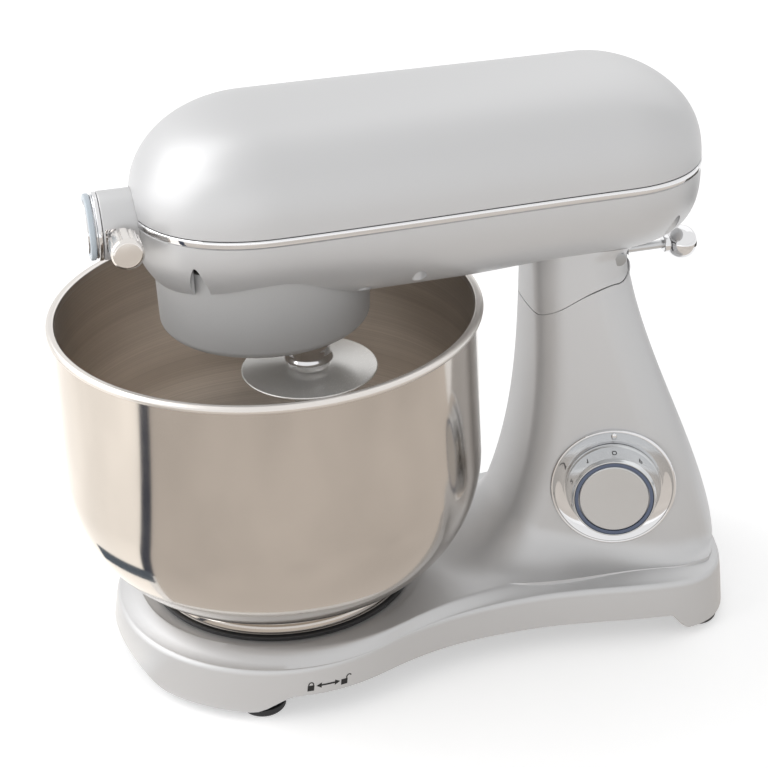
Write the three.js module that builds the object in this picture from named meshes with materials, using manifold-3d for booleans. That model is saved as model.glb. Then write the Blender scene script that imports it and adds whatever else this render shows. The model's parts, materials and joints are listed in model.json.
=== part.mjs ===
// Tilt-head stand mixer with a planetary drive, in millimetres, +Z up.
// The front points to -Y and the speed dial faces +X. The pieces are drawn about the axis of the
// bowl on the floor, and the whole mixer is then moved so that the origin lies under its middle.

import * as THREE from 'three';
import { mergeVertices } from 'three/addons/utils/BufferGeometryUtils.js';
import Module from 'manifold-3d';

const wasm = await Module();
wasm.setup();

// ------------------------------------------------------------------ driving sizes
const fitGap = 0.3; // between pieces that seat on each other
const runGap = 0.6; // between pieces that turn past each other
const seamGap = 0.6; // open joint between the neck and the column

// Bowl
const bowlRimHeight = 214.3;
const bowlMouthRadius = 118.6; // inside the rolled lip
const bowlLipReach = 5.1; // how far the lip stands out from the mouth
const bowlLipHeight = 4.6;
const bowlWall = 1.2;
const bowlBellyHeight = 120; // where the wall is widest and starts to round in
const bowlBellyRadius = 121.3;
const bowlFloorRadius = 75;
const bowlFloorHeight = 54.1;
const bowlRoundness = 1.9;
const bowlFootRadius = 77;
const bowlFootHeight = 12.5;
const bowlTwist = 35; // degrees from locked to free

// Base and its bowl seat
const baseFrontRadius = 100.3;
const baseWaist = 74.5; // half width beside the foot of the column
const baseRearHalfWidth = 86;
const baseRear = 263;
const baseTop = 40.4;
const baseWall = 3.5;
const skirtFlare = 2.4;
const frontEdgeHeight = 32.5; // height of the rounded edge of the base at the front
const rearEdgeHeight = 37;
const archHeight = 13.5; // how far the skirt rises between the feet
const seatRadius = 86; // round recess that holds the bowl
const seatDepth = 2.2;
const seatRingRadius = 78.6;
const seatRingThickness = 2.5;
const bottomPlateThickness = 2.5;
const footRadius = 13;
const footHeight = 5.2; // floor to the lower edge of the skirt
const frontFootX = 81;
const frontFootY = -30;
const rearFootX = 68;
const rearFootY = 240;

// Column
const columnTop = 204;
const columnFront = 156.5;
const columnFrontFoot = 30; // how far the front runs forward at the base
const columnRearTop = 210.3;
const columnRearFoot = 54; // how far the rear runs back at the base
const columnFrontCorner = 13;
const columnRearCorner = 21;
const columnWall = 3.5;
const sideAngle = 18; // degrees, how much the sides open toward the rear
const sideLean = 5.6; // degrees, how much the sides lean in
const dialHeight = 89;
const dialY = 192.3;
const dialX = 50.5;

// Hinge and release lever
const hingeY = 200;
const hingeHeight = 227;
const hingePinRadius = 4;
const hingePinHalf = 33;
const hingeLugRadius = 7.4;
const knuckleRadius = 14;
const leverPivotY = 181;
const leverPivotHeight = 223.5;
const leverHeight = 217.6;
const leverRodRadius = 2.5;
const leverKnobY = 250.5;
const leverKnobRadius = 10.2;
const leverKnobHalfLength = 9.4;

// Head
const headHalfWidth = 66.2;
const headRearHalfWidth = 62;
const headFrontCentre = 1.6; // where the round front end begins
const headFrontLength = 72;
const headRearCentre = 194;
const headRearLength = 60;
const headEndRoundness = 2.2; // of the plan outline
const headTipRoundness = 2.05; // of the upright outline at both ends
const bandHeight = 281.9;
const bandWidth = 3.9;
const crownRise = 53;
const crownRoundness = 2.7;
const hullDepth = 49;
const hullRoundness = 2.5;
const shellWall = 2.6;

// Planetary drive
const drumRadius = 59.3;
const drumBottom = 208.8;
const drumTop = 257.5;
const drumWall = 2.6;
const gearModule = 2.25;
const planetTeeth = 12;
const ringTeeth = 36;
const gearFace = 11;
const planetAngle = 48; // degrees about the bowl axis, where the beater shaft rests
const frameHeight = 260.4; // underside of the gear frame
const frameThickness = 4.5;
const carrierShaftRadius = 6.5;
const driveModule = 1.75;
const pinionTeeth = 10;
const mainTeeth = 40;
const mainGearHeight = 286;
const mainGearFace = 9;
const pulleyHeight = 303;
const pulleyFace = 9;
const largePulleyRadius = 34;
const smallPulleyRadius = 10;
const beltThickness = 2.2;
const motorY = 138;
const motorRadius = 38;
const motorBottom = 243;
const motorTop = 291;

// Accessory hub on the front of the head
const hubHeight = 274.6;
const hubRadius = 18.9;
const hubBore = 15.2;
const hubFront = 87.6; // in front of the bowl axis
const hubCapThickness = 8.4;
const thumbScrewY = -78;
const thumbScrewRadius = 9;
const thumbScrewEnd = 44.5;

// Beater and its guard
const guardHeight = 180.6;
const guardRadius = 39;
const sleeveRadius = 12.4;
const sleeveFlange = 14;
const hookReach = 33;
const hookBottom = 66;
const hookRod = 5.2;

// Speed dial
const bezelRadius = 36.3;
const knobRadius = 28.1;
const knobFaceRadius = 23.4;
const knobReach = 18;

// ------------------------------------------------------------------ worked-out sizes
const rad = THREE.MathUtils.degToRad;
const bowlLipRadius = bowlMouthRadius + bowlLipReach;
const bandBottom = bandHeight - bandWidth;
const seatFloor = baseTop - seatDepth;
const ringTop = seatFloor + fitGap + seatRingThickness;
const bowlFootBottom = ringTop + fitGap;
const planetOrbit = (gearModule * (ringTeeth - planetTeeth)) / 2;
const planetX = planetOrbit * Math.cos(rad(planetAngle));
const planetY = planetOrbit * Math.sin(rad(planetAngle));
const ringGearBottom = frameHeight - fitGap - gearFace;
const jackshaftY = (driveModule * (pinionTeeth + mainTeeth)) / 2;
const sideSlope = Math.tan(rad(sideAngle));
const leanSlope = Math.tan(rad(sideLean));

// ------------------------------------------------------------------ finishes
const finish = (color, roughness, metalness) => new THREE.MeshStandardMaterial({ color, roughness, metalness });
const silverPaint = finish(0xc9cacb, 0.35, 0.55);
const satinSilver = finish(0xa9aaac, 0.5, 0.6);
const polishedSteel = finish(0xcfc8c0, 0.15, 1);
const chrome = finish(0xdfe0e2, 0.08, 1);
const blackRubber = finish(0x161617, 0.8, 0);
const blackPlastic = finish(0x202124, 0.5, 0);
const greyPlastic = finish(0xb9bcc0, 0.45, 0.1);
const gearSteel = finish(0x8f9296, 0.35, 0.9);
const castAlloy = finish(0x9a9c9f, 0.55, 0.8);
const copper = finish(0xa8623a, 0.4, 0.9);
const boardGreen = finish(0x2c5a3c, 0.6, 0);
const lightGuide = finish(0x6d7c94, 0.3, 0);

// ------------------------------------------------------------------ solids
/** Turns a closed three.js geometry into a solid, with its faces pointing out. */
function solid(geometry) {
  geometry.deleteAttribute('normal');
  geometry.deleteAttribute('uv');
  const merged = mergeVertices(geometry, 1e-4);
  const points = merged.attributes.position.array;
  const faces = merged.index.array.slice();
  const at = (i) => new THREE.Vector3().fromArray(points, i * 3);
  let volume = 0;
  for (let i = 0; i < faces.length; i += 3) {
    volume += at(faces[i]).dot(at(faces[i + 1]).cross(at(faces[i + 2])));
  }
  if (volume < 0) faces.reverse();
  return new wasm.Manifold(new wasm.Mesh({ numProp: 3, vertProperties: points, triVerts: new Uint32Array(faces) }));
}

/** Turns a solid back into a geometry for a mesh. */
function surface(body) {
  const mesh = body.getMesh();
  const geometry = new THREE.BufferGeometry();
  geometry.setAttribute('position', new THREE.BufferAttribute(new Float32Array(mesh.vertProperties), 3));
  geometry.setIndex(Array.from(mesh.triVerts));
  geometry.computeVertexNormals();
  return geometry;
}

const joined = (...bodies) => bodies.reduce((sum, body) => sum.add(body));
const cut = (body, ...tools) => tools.reduce((rest, tool) => rest.subtract(tool), body);

/** Revolves a profile of [radius, height] points about Z. */
function turned(profile, steps = 32, place = (g) => g) {
  const points = profile.map(([r, z]) => new THREE.Vector2(r, z));
  return solid(place(new THREE.LatheGeometry(points, steps).rotateX(Math.PI / 2)));
}

/** Upright cylinder from z0 to z1. */
function rod(radius, z0, z1, steps = 24, place) {
  return turned([[0, z0], [radius, z0], [radius, z1], [0, z1]], steps, place);
}

/** Upright tube from z0 to z1. */
function tube(inner, outer, z0, z1, steps = 32, place) {
  return turned([[inner, z0], [outer, z0], [outer, z1], [inner, z1], [inner, z0]], steps, place);
}

/** Box given by its middle and its sizes. */
function box(x, y, z, width, depth, height) {
  return solid(new THREE.BoxGeometry(width, depth, height).translate(x, y, z));
}

/** Extrudes a closed shape upward from z0. */
function extruded(shape, z0, height, place = (g) => g, curveSegments = 16) {
  const geometry = new THREE.ExtrudeGeometry(shape, { depth: height, bevelEnabled: false, curveSegments });
  return solid(place(geometry.translate(0, 0, z0)));
}

/** Extrudes an outline drawn in Y and Z across the mixer, from x0 over a width. */
function extrudedAcross(points, x0, width) {
  const shape = new THREE.Shape(points.map(([y, z]) => new THREE.Vector2(y, z)));
  const turn = new THREE.Matrix4().makeBasis(
    new THREE.Vector3(0, 1, 0), new THREE.Vector3(0, 0, 1), new THREE.Vector3(1, 0, 0));
  return extruded(shape, x0, width, (g) => g.applyMatrix4(turn));
}

/** Round bar along a curve. */
function bar(curve, radius, steps, sides) {
  const section = new THREE.Shape();
  section.absarc(0, 0, radius, 0, 2 * Math.PI);
  return solid(new THREE.ExtrudeGeometry(section, { extrudePath: curve, steps, curveSegments: sides }));
}

/** Closed solid through rings of equal length, each listed counter-clockwise, bottom first. */
function loft(rings) {
  const count = rings[0].length;
  const points = rings.flat().map((p) => [p.x, p.y, p.z]);
  const faces = [];
  for (let level = 0; level < rings.length - 1; level++) {
    for (let i = 0; i < count; i++) {
      const a = level * count + i;
      const b = level * count + ((i + 1) % count);
      faces.push(a, b, b + count, a, b + count, a + count);
    }
  }
  const top = (rings.length - 1) * count;
  const capMiddle = (ring) => ring.reduce((sum, p) => sum.add(p), new THREE.Vector3()).divideScalar(count);
  points.push(capMiddle(rings[0]).toArray(), capMiddle(rings[rings.length - 1]).toArray());
  for (let i = 0; i < count; i++) {
    const next = (i + 1) % count;
    faces.push(points.length - 2, next, i);
    faces.push(points.length - 1, top + i, top + next);
  }
  const geometry = new THREE.BufferGeometry();
  geometry.setAttribute('position', new THREE.Float32BufferAttribute(points.flat(), 3));
  geometry.setIndex(faces);
  return solid(geometry);
}

const smooth = (t) => THREE.MathUtils.smoothstep(t, 0, 1);
const along = (count, from, to) => Array.from({ length: count + 1 }, (_, i) => from + ((to - from) * i) / count);
const arc = (r, z, radius, from, to, count) =>
  along(count, from, to).map((a) => [r + radius * Math.cos(rad(a)), z + radius * Math.sin(rad(a))]);

/** Moves each point of a closed counter-clockwise outline inward, square to the outline. */
function inset(outline, distance) {
  const count = outline.length;
  return outline.map((p, i) => {
    const before = outline[(i + count - 1) % count];
    const after = outline[(i + 1) % count];
    const run = new THREE.Vector2().subVectors(after, before).normalize();
    return new THREE.Vector2(p.x - run.y * distance, p.y + run.x * distance);
  });
}

/** Closed polygon with each corner rounded by its own radius. */
function roundedPolygon(corners, radii, arcSteps) {
  const count = corners.length;
  return corners.flatMap((corner, i) => {
    const toBefore = corners[(i + count - 1) % count].clone().sub(corner).normalize();
    const toAfter = corners[(i + 1) % count].clone().sub(corner).normalize();
    const half = Math.acos(THREE.MathUtils.clamp(toBefore.dot(toAfter), -1, 1)) / 2;
    const middle = toBefore.clone().add(toAfter).normalize();
    const centre = corner.clone().addScaledVector(middle, radii[i] / Math.sin(half));
    const start = corner.clone().addScaledVector(toBefore, radii[i] / Math.tan(half)).sub(centre).angle();
    const sweep = Math.PI - 2 * half;
    return along(arcSteps, start, start + sweep).map(
      (a) => new THREE.Vector2(centre.x + radii[i] * Math.cos(a), centre.y + radii[i] * Math.sin(a)));
  });
}

// ------------------------------------------------------------------ assembly tree
const mixer = new THREE.Group();

/** Adds a named piece to the mixer. */
function piece(name, body, material) {
  const mesh = new THREE.Mesh(surface(body), material);
  mesh.name = name;
  mixer.add(mesh);
}

// ------------------------------------------------------------------ gears
/** Outline of an involute gear; thinning narrows each tooth, and inside gears widen it instead. */
function gearOutline(teeth, module, { pressure = 20, addendum = 1, dedendum = 1.25, thinning = 0.25, steps = 3 }) {
  const pitch = (module * teeth) / 2;
  const base = pitch * Math.cos(rad(pressure));
  const tip = pitch + addendum * module;
  const root = pitch - dedendum * module;
  const involute = (angle) => Math.tan(angle) - angle;
  const halfTooth = (r) => {
    const opening = involute(rad(pressure)) - involute(Math.acos(Math.min(1, base / Math.max(r, base))));
    return Math.PI / (2 * teeth) - thinning / (2 * pitch) + opening;
  };
  const radii = base > root ? [root, ...along(steps, base, tip)] : along(steps, root, tip);
  const points = [];
  for (let tooth = 0; tooth < teeth; tooth++) {
    const middle = (2 * Math.PI * tooth) / teeth;
    for (const side of [-1, 1]) {
      const flank = side < 0 ? radii : [...radii].reverse();
      for (const r of flank) {
        const angle = middle + side * halfTooth(r);
        points.push(new THREE.Vector2(r * Math.cos(angle), r * Math.sin(angle)));
      }
    }
  }
  return points;
}

/** Spur gear with a round bore. */
function spurGear(teeth, module, bore, z0, height, options) {
  const shape = new THREE.Shape(gearOutline(teeth, module, options));
  if (bore > 0) shape.holes.push(new THREE.Path().absarc(0, 0, bore, 0, 2 * Math.PI, true));
  return extruded(shape, z0, height);
}

// ------------------------------------------------------------------ head surfaces
/** Outline of the head, with its width and its ends scaled by shares, let out by a margin. */
function headOutline(share, endShare, margin = 0) {
  const points = [];
  const power = 2 / headEndRoundness;
  const front = headFrontLength * endShare + margin;
  const rear = headRearLength * endShare + margin;
  const wide = headHalfWidth * share + margin;
  const narrow = headRearHalfWidth * share + margin;
  const quarter = along(margin < 0 ? 4 : 5, 0, 90);
  for (const a of quarter) {
    const c = Math.sin(rad(a)) ** power;
    points.push([wide * c, headFrontCentre - front * Math.cos(rad(a)) ** power]);
  }
  for (const t of [0.4, 0.7]) {
    points.push([THREE.MathUtils.lerp(wide, narrow, smooth(t) * t), THREE.MathUtils.lerp(headFrontCentre, headRearCentre, t)]);
  }
  for (const a of quarter) {
    const c = Math.cos(rad(a)) ** power;
    points.push([narrow * c, headRearCentre + rear * Math.sin(rad(a)) ** power]);
  }
  const left = points.slice(1, -1).reverse().map(([x, y]) => [-x, y]);
  return [...points, ...left].map(([x, y]) => new THREE.Vector2(x, y));
}

const atHeight = (outline, z) => outline.map((p) => new THREE.Vector3(p.x, p.y, z));
const dome = (share, power) => (1 - share ** power) ** (1 / power);
const outerShares = [1, 0.98, 0.92, 0.82, 0.68, 0.42];
const innerShares = [1, 0.94, 0.8, 0.5];

/** Rings of a rounded shell: each share of the width gives a height and a share of the ends. */
function domeRings(margin, roundness, heightOf) {
  return (margin < 0 ? innerShares : outerShares).map((share) => {
    const rise = dome(share, roundness);
    return atHeight(headOutline(share, dome(rise, headTipRoundness), margin), heightOf(rise));
  });
}

/** Upper dome of the head above the chrome band, with a margin added or taken off all round. */
function crownSolid(margin, from) {
  const rings = domeRings(margin, crownRoundness, (rise) => bandHeight + fitGap + (crownRise + margin) * rise);
  if (from < bandHeight) rings.unshift(atHeight(headOutline(1, 1, margin), from));
  return loft(rings);
}

/** Boat-shaped underside of the head below the chrome band. */
function hullSolid(margin, upTo) {
  const rings = domeRings(margin, hullRoundness, (rise) => bandBottom - fitGap - (hullDepth + margin) * rise);
  rings.reverse();
  if (upTo > bandBottom) rings.push(atHeight(headOutline(1, 1, margin), upTo));
  return loft(rings);
}

const drumHole = drumRadius + 2.2 + runGap;
const alongFront = (g) => g.rotateX(Math.PI / 2).translate(0, 0, hubHeight); // local +Z becomes -Y
const hubHole = () => rod(hubRadius + fitGap, 40, 110, 24, alongFront);
const screwSpots = [[47.8, -42], [47.5, 47], [53.8, 76.5], [47.4, 225]];
const mirroredSpots = screwSpots.flatMap(([x, y]) => [[x, y], [-x, y]]);
const screwWell = 4;
const wellTop = 267; // the screw heads seat here
const postTop = 270.5;
const upright = (radius, z0, z1, x, y, steps = 8) => rod(radius, z0, z1, steps, (g) => g.translate(x, y, 0));
const atSpots = (make) => mirroredSpots.map(([x, y]) => make(x, y));

function headCover() {
  const shell = cut(crownSolid(0, bandHeight + fitGap), crownSolid(-shellWall, bandHeight - 5));
  const bosses = joined(...atSpots((x, y) => upright(5, postTop + fitGap, bandHeight + crownRise, x, y, 8)));
  const kept = bosses.intersect(crownSolid(-0.5, postTop - 5)).intersect(hullSolid(-shellWall - fitGap, 400));
  const pilots = atSpots((x, y) => upright(1.5 + fitGap, postTop - 5, postTop + 14, x, y, 8));
  return cut(joined(shell, kept), ...pilots, hubHole());
}

function headHousing() {
  const collar = tube(drumHole, drumHole + 2.4, 238, frameHeight - fitGap, 32);
  const posts = atSpots((x, y) => upright(screwWell + 2, 226, postTop, x, y));
  const motorFoot = upright(9, 228, motorBottom - 6, 0, motorY, 20);
  const fittings = joined(collar, ...posts, motorFoot).intersect(hullSolid(-0.5, bandHeight));
  const shell = joined(cut(hullSolid(0, bandBottom - fitGap), hullSolid(-shellWall, bandHeight)), fittings);
  const wells = atSpots((x, y) => upright(screwWell, 200, wellTop, x, y));
  const screwHoles = atSpots((x, y) => upright(1.5 + fitGap, 240, 300, x, y, 8));
  const shaftBore = upright(4 + fitGap, motorBottom - 12, 300, 0, motorY, 20);
  const neckOpening = box(0, (columnFront + hingeY) / 2 + 8, 230, 2 * cheekX + 1, hingeY - columnFront + 6, 24);
  return cut(shell, rod(drumHole, 200, 300, 32), ...wells, ...screwHoles, shaftBore, hubHole(), neckOpening);
}

function trimBand() {
  const ring = (margin, z) => atHeight(headOutline(1, 1, margin), z);
  const outside = loft([ring(0.1, bandBottom), ring(0.6, bandBottom + 0.7), ring(0.6, bandHeight - 0.7), ring(0.1, bandHeight)]);
  const inside = loft([ring(-shellWall, bandBottom - 1), ring(-shellWall, bandHeight + 1)]);
  return cut(outside, inside, hubHole());
}

function housingScrew(x, y) {
  const seat = wellTop - fitGap;
  const profile = [[0, seat - 2.6], [3.2, seat - 2.6], [3.2, seat], [1.5, seat], [1.5, postTop + 12], [0, postTop + 12]];
  return turned(profile, 8, (g) => g.translate(x, y, 0));
}

function buildHead() {
  piece('head_cover', headCover(), silverPaint);
  piece('head_housing', headHousing(), silverPaint);
  piece('trim_band', trimBand(), chrome);
  mirroredSpots.forEach(([x, y], i) => piece(`housing_screw_${i + 1}`, housingScrew(x, y), gearSteel));
}

// ------------------------------------------------------------------ base and column
/** Plan outline of the base at its rounded edge: a round front, a waist and a wider rear. */
function baseOutline() {
  const half = new THREE.Path();
  const lead = rad(24);
  const lx = baseFrontRadius * Math.cos(lead);
  const ly = baseFrontRadius * Math.sin(lead);
  half.absarc(0, 0, baseFrontRadius, -Math.PI / 2, lead);
  half.bezierCurveTo(lx - 0.407 * 38, ly + 0.914 * 38, baseWaist - 0.6, 100, baseWaist, 134);
  half.bezierCurveTo(baseWaist + 0.8, 165, baseRearHalfWidth - 2, 190, baseRearHalfWidth, 222);
  half.bezierCurveTo(baseRearHalfWidth + 1.5, 247, 68, baseRear - 1, 30, baseRear);
  const side = half.getPoints(5);
  const left = side.slice(1).reverse().map((p) => new THREE.Vector2(-p.x, p.y));
  return [...side, ...left];
}

const edgeHeight = (y) => THREE.MathUtils.lerp(frontEdgeHeight, rearEdgeHeight, smooth((y + 20) / 220));
const skirtBottom = (y) => footHeight + archHeight * (smooth((y + 38) / 26) - smooth((y - 216) / 12));

/** Ring of the base outline, set in by a distance, with a height worked out from y. */
const baseRing = (distance, heightAt) => inset(baseOutline(), distance).map((p) => new THREE.Vector3(p.x, p.y, heightAt(p.y)));

function baseSlab() {
  const rise = (drop) => (y) => edgeHeight(y) - drop;
  const toTop = (share) => (y) => THREE.MathUtils.lerp(edgeHeight(y), baseTop, share);
  return loft([
    baseRing(-skirtFlare, skirtBottom), baseRing(-skirtFlare * 0.35, rise(9)), baseRing(0, rise(2.8)),
    baseRing(1, rise(0.8)), baseRing(3.2, rise(0)), baseRing(9, toTop(0.55)), baseRing(15, toTop(0.95)),
    baseRing(20, () => baseTop)]);
}

const columnShare = (z) => (columnTop - z) / (columnTop - baseTop + 0.4);
const columnFrontAt = (z) => {
  const share = Math.max(0, columnShare(z));
  return columnFront - columnFrontFoot * share ** 3.4;
};
const columnRearAt = (z) => {
  const share = THREE.MathUtils.clamp((216 - z) / 180, 0, 1);
  const flareUp = 0.5 * Math.max(0, z - 228); // the neck opens toward the head
  return columnRearTop + (columnRearFoot * (share + smooth(share))) / 2 + flareUp;
};
const sideAt = (y, z) => {
  const footFlare = 13 * Math.max(0, (64 - z) / 26) ** 2.4 * (1 - 0.85 * smooth((y - 130) / 100));
  return dialX + sideSlope * (y - dialY) - leanSlope * (Math.max(z, 30) - dialHeight) + footFlare;
};

/** Cross-section of the column and neck at a height, set in by a distance. */
function columnRing(z, distance = 0) {
  const front = columnFrontAt(z) + distance;
  const rear = columnRearAt(z) - distance;
  const corners = [
    new THREE.Vector2(sideAt(front, z) - distance, front), new THREE.Vector2(sideAt(rear, z) - distance, rear),
    new THREE.Vector2(-sideAt(rear, z) + distance, rear), new THREE.Vector2(-sideAt(front, z) + distance, front)];
  const rearCorner = columnRearCorner + 16 * Math.max(0, columnShare(z)) ** 2;
  const radii = [columnFrontCorner, rearCorner, rearCorner, columnFrontCorner].map((r) => r - distance * 0.7);
  const ring = roundedPolygon(corners, radii, 3);
  const frontBulge = 3 + 8 * smooth((190 - z) / 120);
  const bulge = (p) => {
    const share = (p.y - front) / (rear - front);
    const across = 1 - (p.x / sideAt(p.y, z)) ** 2;
    return across * (1.5 * Math.max(0, 2 * share - 1) - frontBulge * Math.max(0, 1 - 4 * share));
  };
  return ring.map((p) => new THREE.Vector3(p.x, p.y + bulge(p), z));
}

/** Everything below the wavy joint between the column and the neck, grown by a margin. */
function belowSeam(margin) {
  const rise = (t) => 0.4 * smooth(t) + 0.6 * (1 - (1 - t) ** 2);
  const wave = along(7, 0, 1).map((t) => [156 + 41 * t, 192.6 + 20.2 * rise(t) + margin]);
  const cradle = arc(hingeY, hingeHeight, knuckleRadius + seamGap - margin, 262, 338, 7);
  return extrudedAcross([[60, -50], [300, -50], [300, cradle[7][1]], ...cradle.reverse(), ...wave.reverse(),
    [60, 192.6 + margin]], -100, 200);
}

const hingeAxis = (g) => g.rotateY(Math.PI / 2).translate(0, hingeY, hingeHeight); // local +Z becomes +X
const leverAxis = (g) => g.rotateY(Math.PI / 2).translate(0, leverPivotY, leverPivotHeight);
const lugX = 17; // inner face of the hinge lugs
const lugWidth = 8;
const neckWallInside = (z) => sideAt(hingeY, z) - columnWall - 1;
const slotHalfWidth = 5;
const catchY = 195;
const catchHeight = 205;

/** Places a shape, drawn face up about the middle of the dial, on the side of the column. */
function onDial(geometry) {
  const out = new THREE.Vector3(1, -sideSlope, leanSlope).normalize();
  const across = new THREE.Vector3(0, 0, 1).cross(out).normalize();
  const up = new THREE.Vector3().crossVectors(out, across);
  return geometry.applyMatrix4(new THREE.Matrix4().makeBasis(across, up, out)).translate(dialX, dialY, dialHeight);
}

const hingeRing = (radius, halfWidth, steps = 24) => rod(radius, -halfWidth, halfWidth, steps, hingeAxis);

function hingeLugs() {
  const outline = [...arc(hingeY, hingeHeight, hingeLugRadius, -72, 200, 7), [hingeY - 10, 198], [hingeY, 198]];
  const lug = extrudedAcross(outline, lugX, lugWidth);
  return joined(lug, lug.mirror([1, 0, 0]));
}

function baseCasting() {
  const heights = [...along(3, baseTop - 6, 64), ...along(6, 82, 224)];
  const column = loft(heights.map((z) => columnRing(z))).intersect(belowSeam(0));
  const outside = joined(baseSlab(), column, hingeLugs());
  const floorCavity = loft([baseRing(baseWall, () => -5), baseRing(baseWall, () => frontEdgeHeight - 4)]);
  const cavityFoot = columnRing(46, columnWall).map((p) => p.clone().setZ(20));
  const columnCavity = loft([cavityFoot, ...[46, 64, 90, 120, 155, 192].map((z) => columnRing(z, columnWall))]);
  const seat = rod(seatRadius, seatFloor, 60, 36);
  const slot = box(0, 200, 216, 2 * slotHalfWidth, 58, 60);
  const catchHole = rod(2.5 + fitGap, -12, 12, 12, (g) => g.rotateY(Math.PI / 2).translate(0, catchY, catchHeight));
  const dialSeat = rod(bezelRadius + fitGap, -1.2, 12, 28, onDial);
  const dialBore = rod(7 + fitGap, -12, 10, 14, onDial);
  const gland = rod(6 + fitGap, -15, 15, 16, (g) => g.rotateX(-Math.PI / 2).translate(glandX, baseRear, glandHeight));
  const hollow = joined(floorCavity, columnCavity);
  return cut(outside, hollow, seat, slot, catchHole, hingeRing(hingePinRadius + fitGap, 60), dialSeat, dialBore, gland);
}

const glandX = -25;
const glandHeight = 26.5;
const plateTop = 18.5;
const footSpots = [['front_left', frontFootX, frontFootY], ['front_right', -frontFootX, frontFootY],
  ['rear_left', rearFootX, rearFootY], ['rear_right', -rearFootX, rearFootY]];

function bottomPlate() {
  const underside = plateTop - bottomPlateThickness;
  const inSkirt = (z0, z1) => loft([z0, z1].map((z) => baseRing(baseWall + fitGap, () => z)));
  const plate = inSkirt(underside, plateTop);
  const bosses = footSpots.map(([, x, y]) => upright(footRadius - 1.5, 8.5, underside + 0.5, x, y, 14));
  const stems = footSpots.map(([, x, y]) => upright(4 + fitGap, 0, 16.5, x, y, 10));
  const slots = along(2, -14, 14).map((x) => box(x, 170, 17, 4, 34, 10));
  return cut(joined(plate, ...bosses).intersect(inSkirt(0, plateTop + 1)), ...stems, ...slots);
}

function rubberFoot(x, y) {
  const profile = [[0, 0], [footRadius - 1.2, 0], [footRadius, 1.6], [footRadius, footHeight - fitGap],
    [7, footHeight - fitGap], [7, 8.5 - fitGap], [4, 8.5 - fitGap], [4, 16], [0, 16]];
  return turned(profile, 14, (g) => g.translate(x, y, 0));
}

const seatBossRadius = 58;
const lugReach = 6.5;
const tabAngle = 30;
const lugClear = 0.5;
/** Sector of a flat ring, for the twist-lock lugs and tabs. */
function sector(inner, outer, middle, width, z0, z1) {
  const shape = new THREE.Shape();
  shape.absarc(0, 0, outer, rad(middle - width / 2), rad(middle + width / 2), false);
  shape.absarc(0, 0, inner, rad(middle + width / 2), rad(middle - width / 2), true);
  return extruded(shape, z0, z1 - z0, undefined, 4);
}
const threeTimes = (make) => [90, 210, 330].map(make);

function bowlSeat() {
  const bottom = seatFloor + fitGap;
  const ring = turned([[0, bottom], [seatRingRadius, bottom], [seatRingRadius, ringTop - 0.6], [seatRingRadius - 0.6, ringTop],
    [seatBossRadius, ringTop], [seatBossRadius, ringTop + 7.4], [seatBossRadius - 3, ringTop + 7.4], [seatBossRadius - 4, ringTop],
    [0, ringTop]], 26);
  const lugs = threeTimes((a) => sector(seatBossRadius - 1, seatBossRadius + lugReach, a, tabAngle, ringTop + 4.4, ringTop + 7.4));
  return joined(ring, ...lugs);
}

function bowlFoot() {
  const z = bowlFootBottom;
  const inner = bowlFootRadius - 4.5;
  const top = z + bowlFootHeight;
  const ring = turned([[inner, z], [bowlFootRadius - 0.8, z], [bowlFootRadius, z + 0.8], [bowlFootRadius - 0.6, z + 5],
    [bowlFootRadius - 2.2, z + 6.5], [bowlFootRadius - 3.4, top], [inner - 1.5, top], [inner, z]], 28);
  const tabs = threeTimes((a) => sector(seatBossRadius + 2, inner + 1, a, tabAngle, z + 1.6, z + 1.6 + 2));
  return joined(ring, ...tabs);
}

/** Rounded lower part of the bowl, from the middle of its flat floor out to its widest ring. */
function bowlBelly(offset, count) {
  const reach = bowlBellyRadius - bowlFloorRadius - offset;
  const depth = bowlBellyHeight - bowlFloorHeight - offset;
  const curve = along(count, 90, 0).map((a) => {
    const out = Math.cos(rad(a)) ** (2 / bowlRoundness);
    const down = Math.sin(rad(a)) ** (2 / bowlRoundness);
    return [bowlFloorRadius + reach * out, bowlBellyHeight - depth * down];
  });
  return [[0, bowlFloorHeight + offset], ...curve];
}

function bowl() {
  const lipZ = bowlRimHeight - bowlLipHeight / 2;
  const lip = arc(bowlLipRadius - bowlLipHeight / 2, lipZ, bowlLipHeight / 2, -90, 90, 3);
  const profile = [...bowlBelly(0, 6), [bowlMouthRadius + bowlWall, lipZ - bowlLipHeight / 2], ...lip,
    [bowlMouthRadius + 1.2, bowlRimHeight], [bowlMouthRadius, bowlRimHeight - 1.2], ...bowlBelly(bowlWall, 4).reverse()];
  return turned(profile, 36);
}

function cordGland() {
  const flange = 2.8; // stands behind the flared skirt
  return turned([[3.2, -12], [6, -12], [6, flange], [8, flange], [8, flange + 2], [4, flange + 2], [3.2, -12]], 16,
    (g) => g.rotateX(-Math.PI / 2).translate(glandX, baseRear, glandHeight));
}

function buildBase() {
  piece('base_casting', baseCasting(), silverPaint);
  piece('bottom_plate', bottomPlate(), blackPlastic);
  footSpots.forEach(([name, x, y]) => piece(`foot_${name}`, rubberFoot(x, y), blackRubber));
  piece('bowl_seat', bowlSeat(), blackPlastic);
  piece('cord_gland', cordGland(), blackPlastic);
  piece('hinge_pin', hingeRing(hingePinRadius, hingePinHalf), gearSteel);
  piece('catch_pin', rod(2.5, -11, 11, 16, (g) => g.rotateY(Math.PI / 2).translate(0, catchY, catchHeight)), gearSteel);
}

function buildBowl() {
  piece('bowl', bowl(), polishedSteel);
  piece('bowl_foot', bowlFoot(), polishedSteel);
}

// ------------------------------------------------------------------ neck and release lever
const cheekX = lugX + lugWidth + runGap; // the neck is solid outside this, and holds the pin there
const ribX = 7;
const ribWidth = 3;

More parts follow.
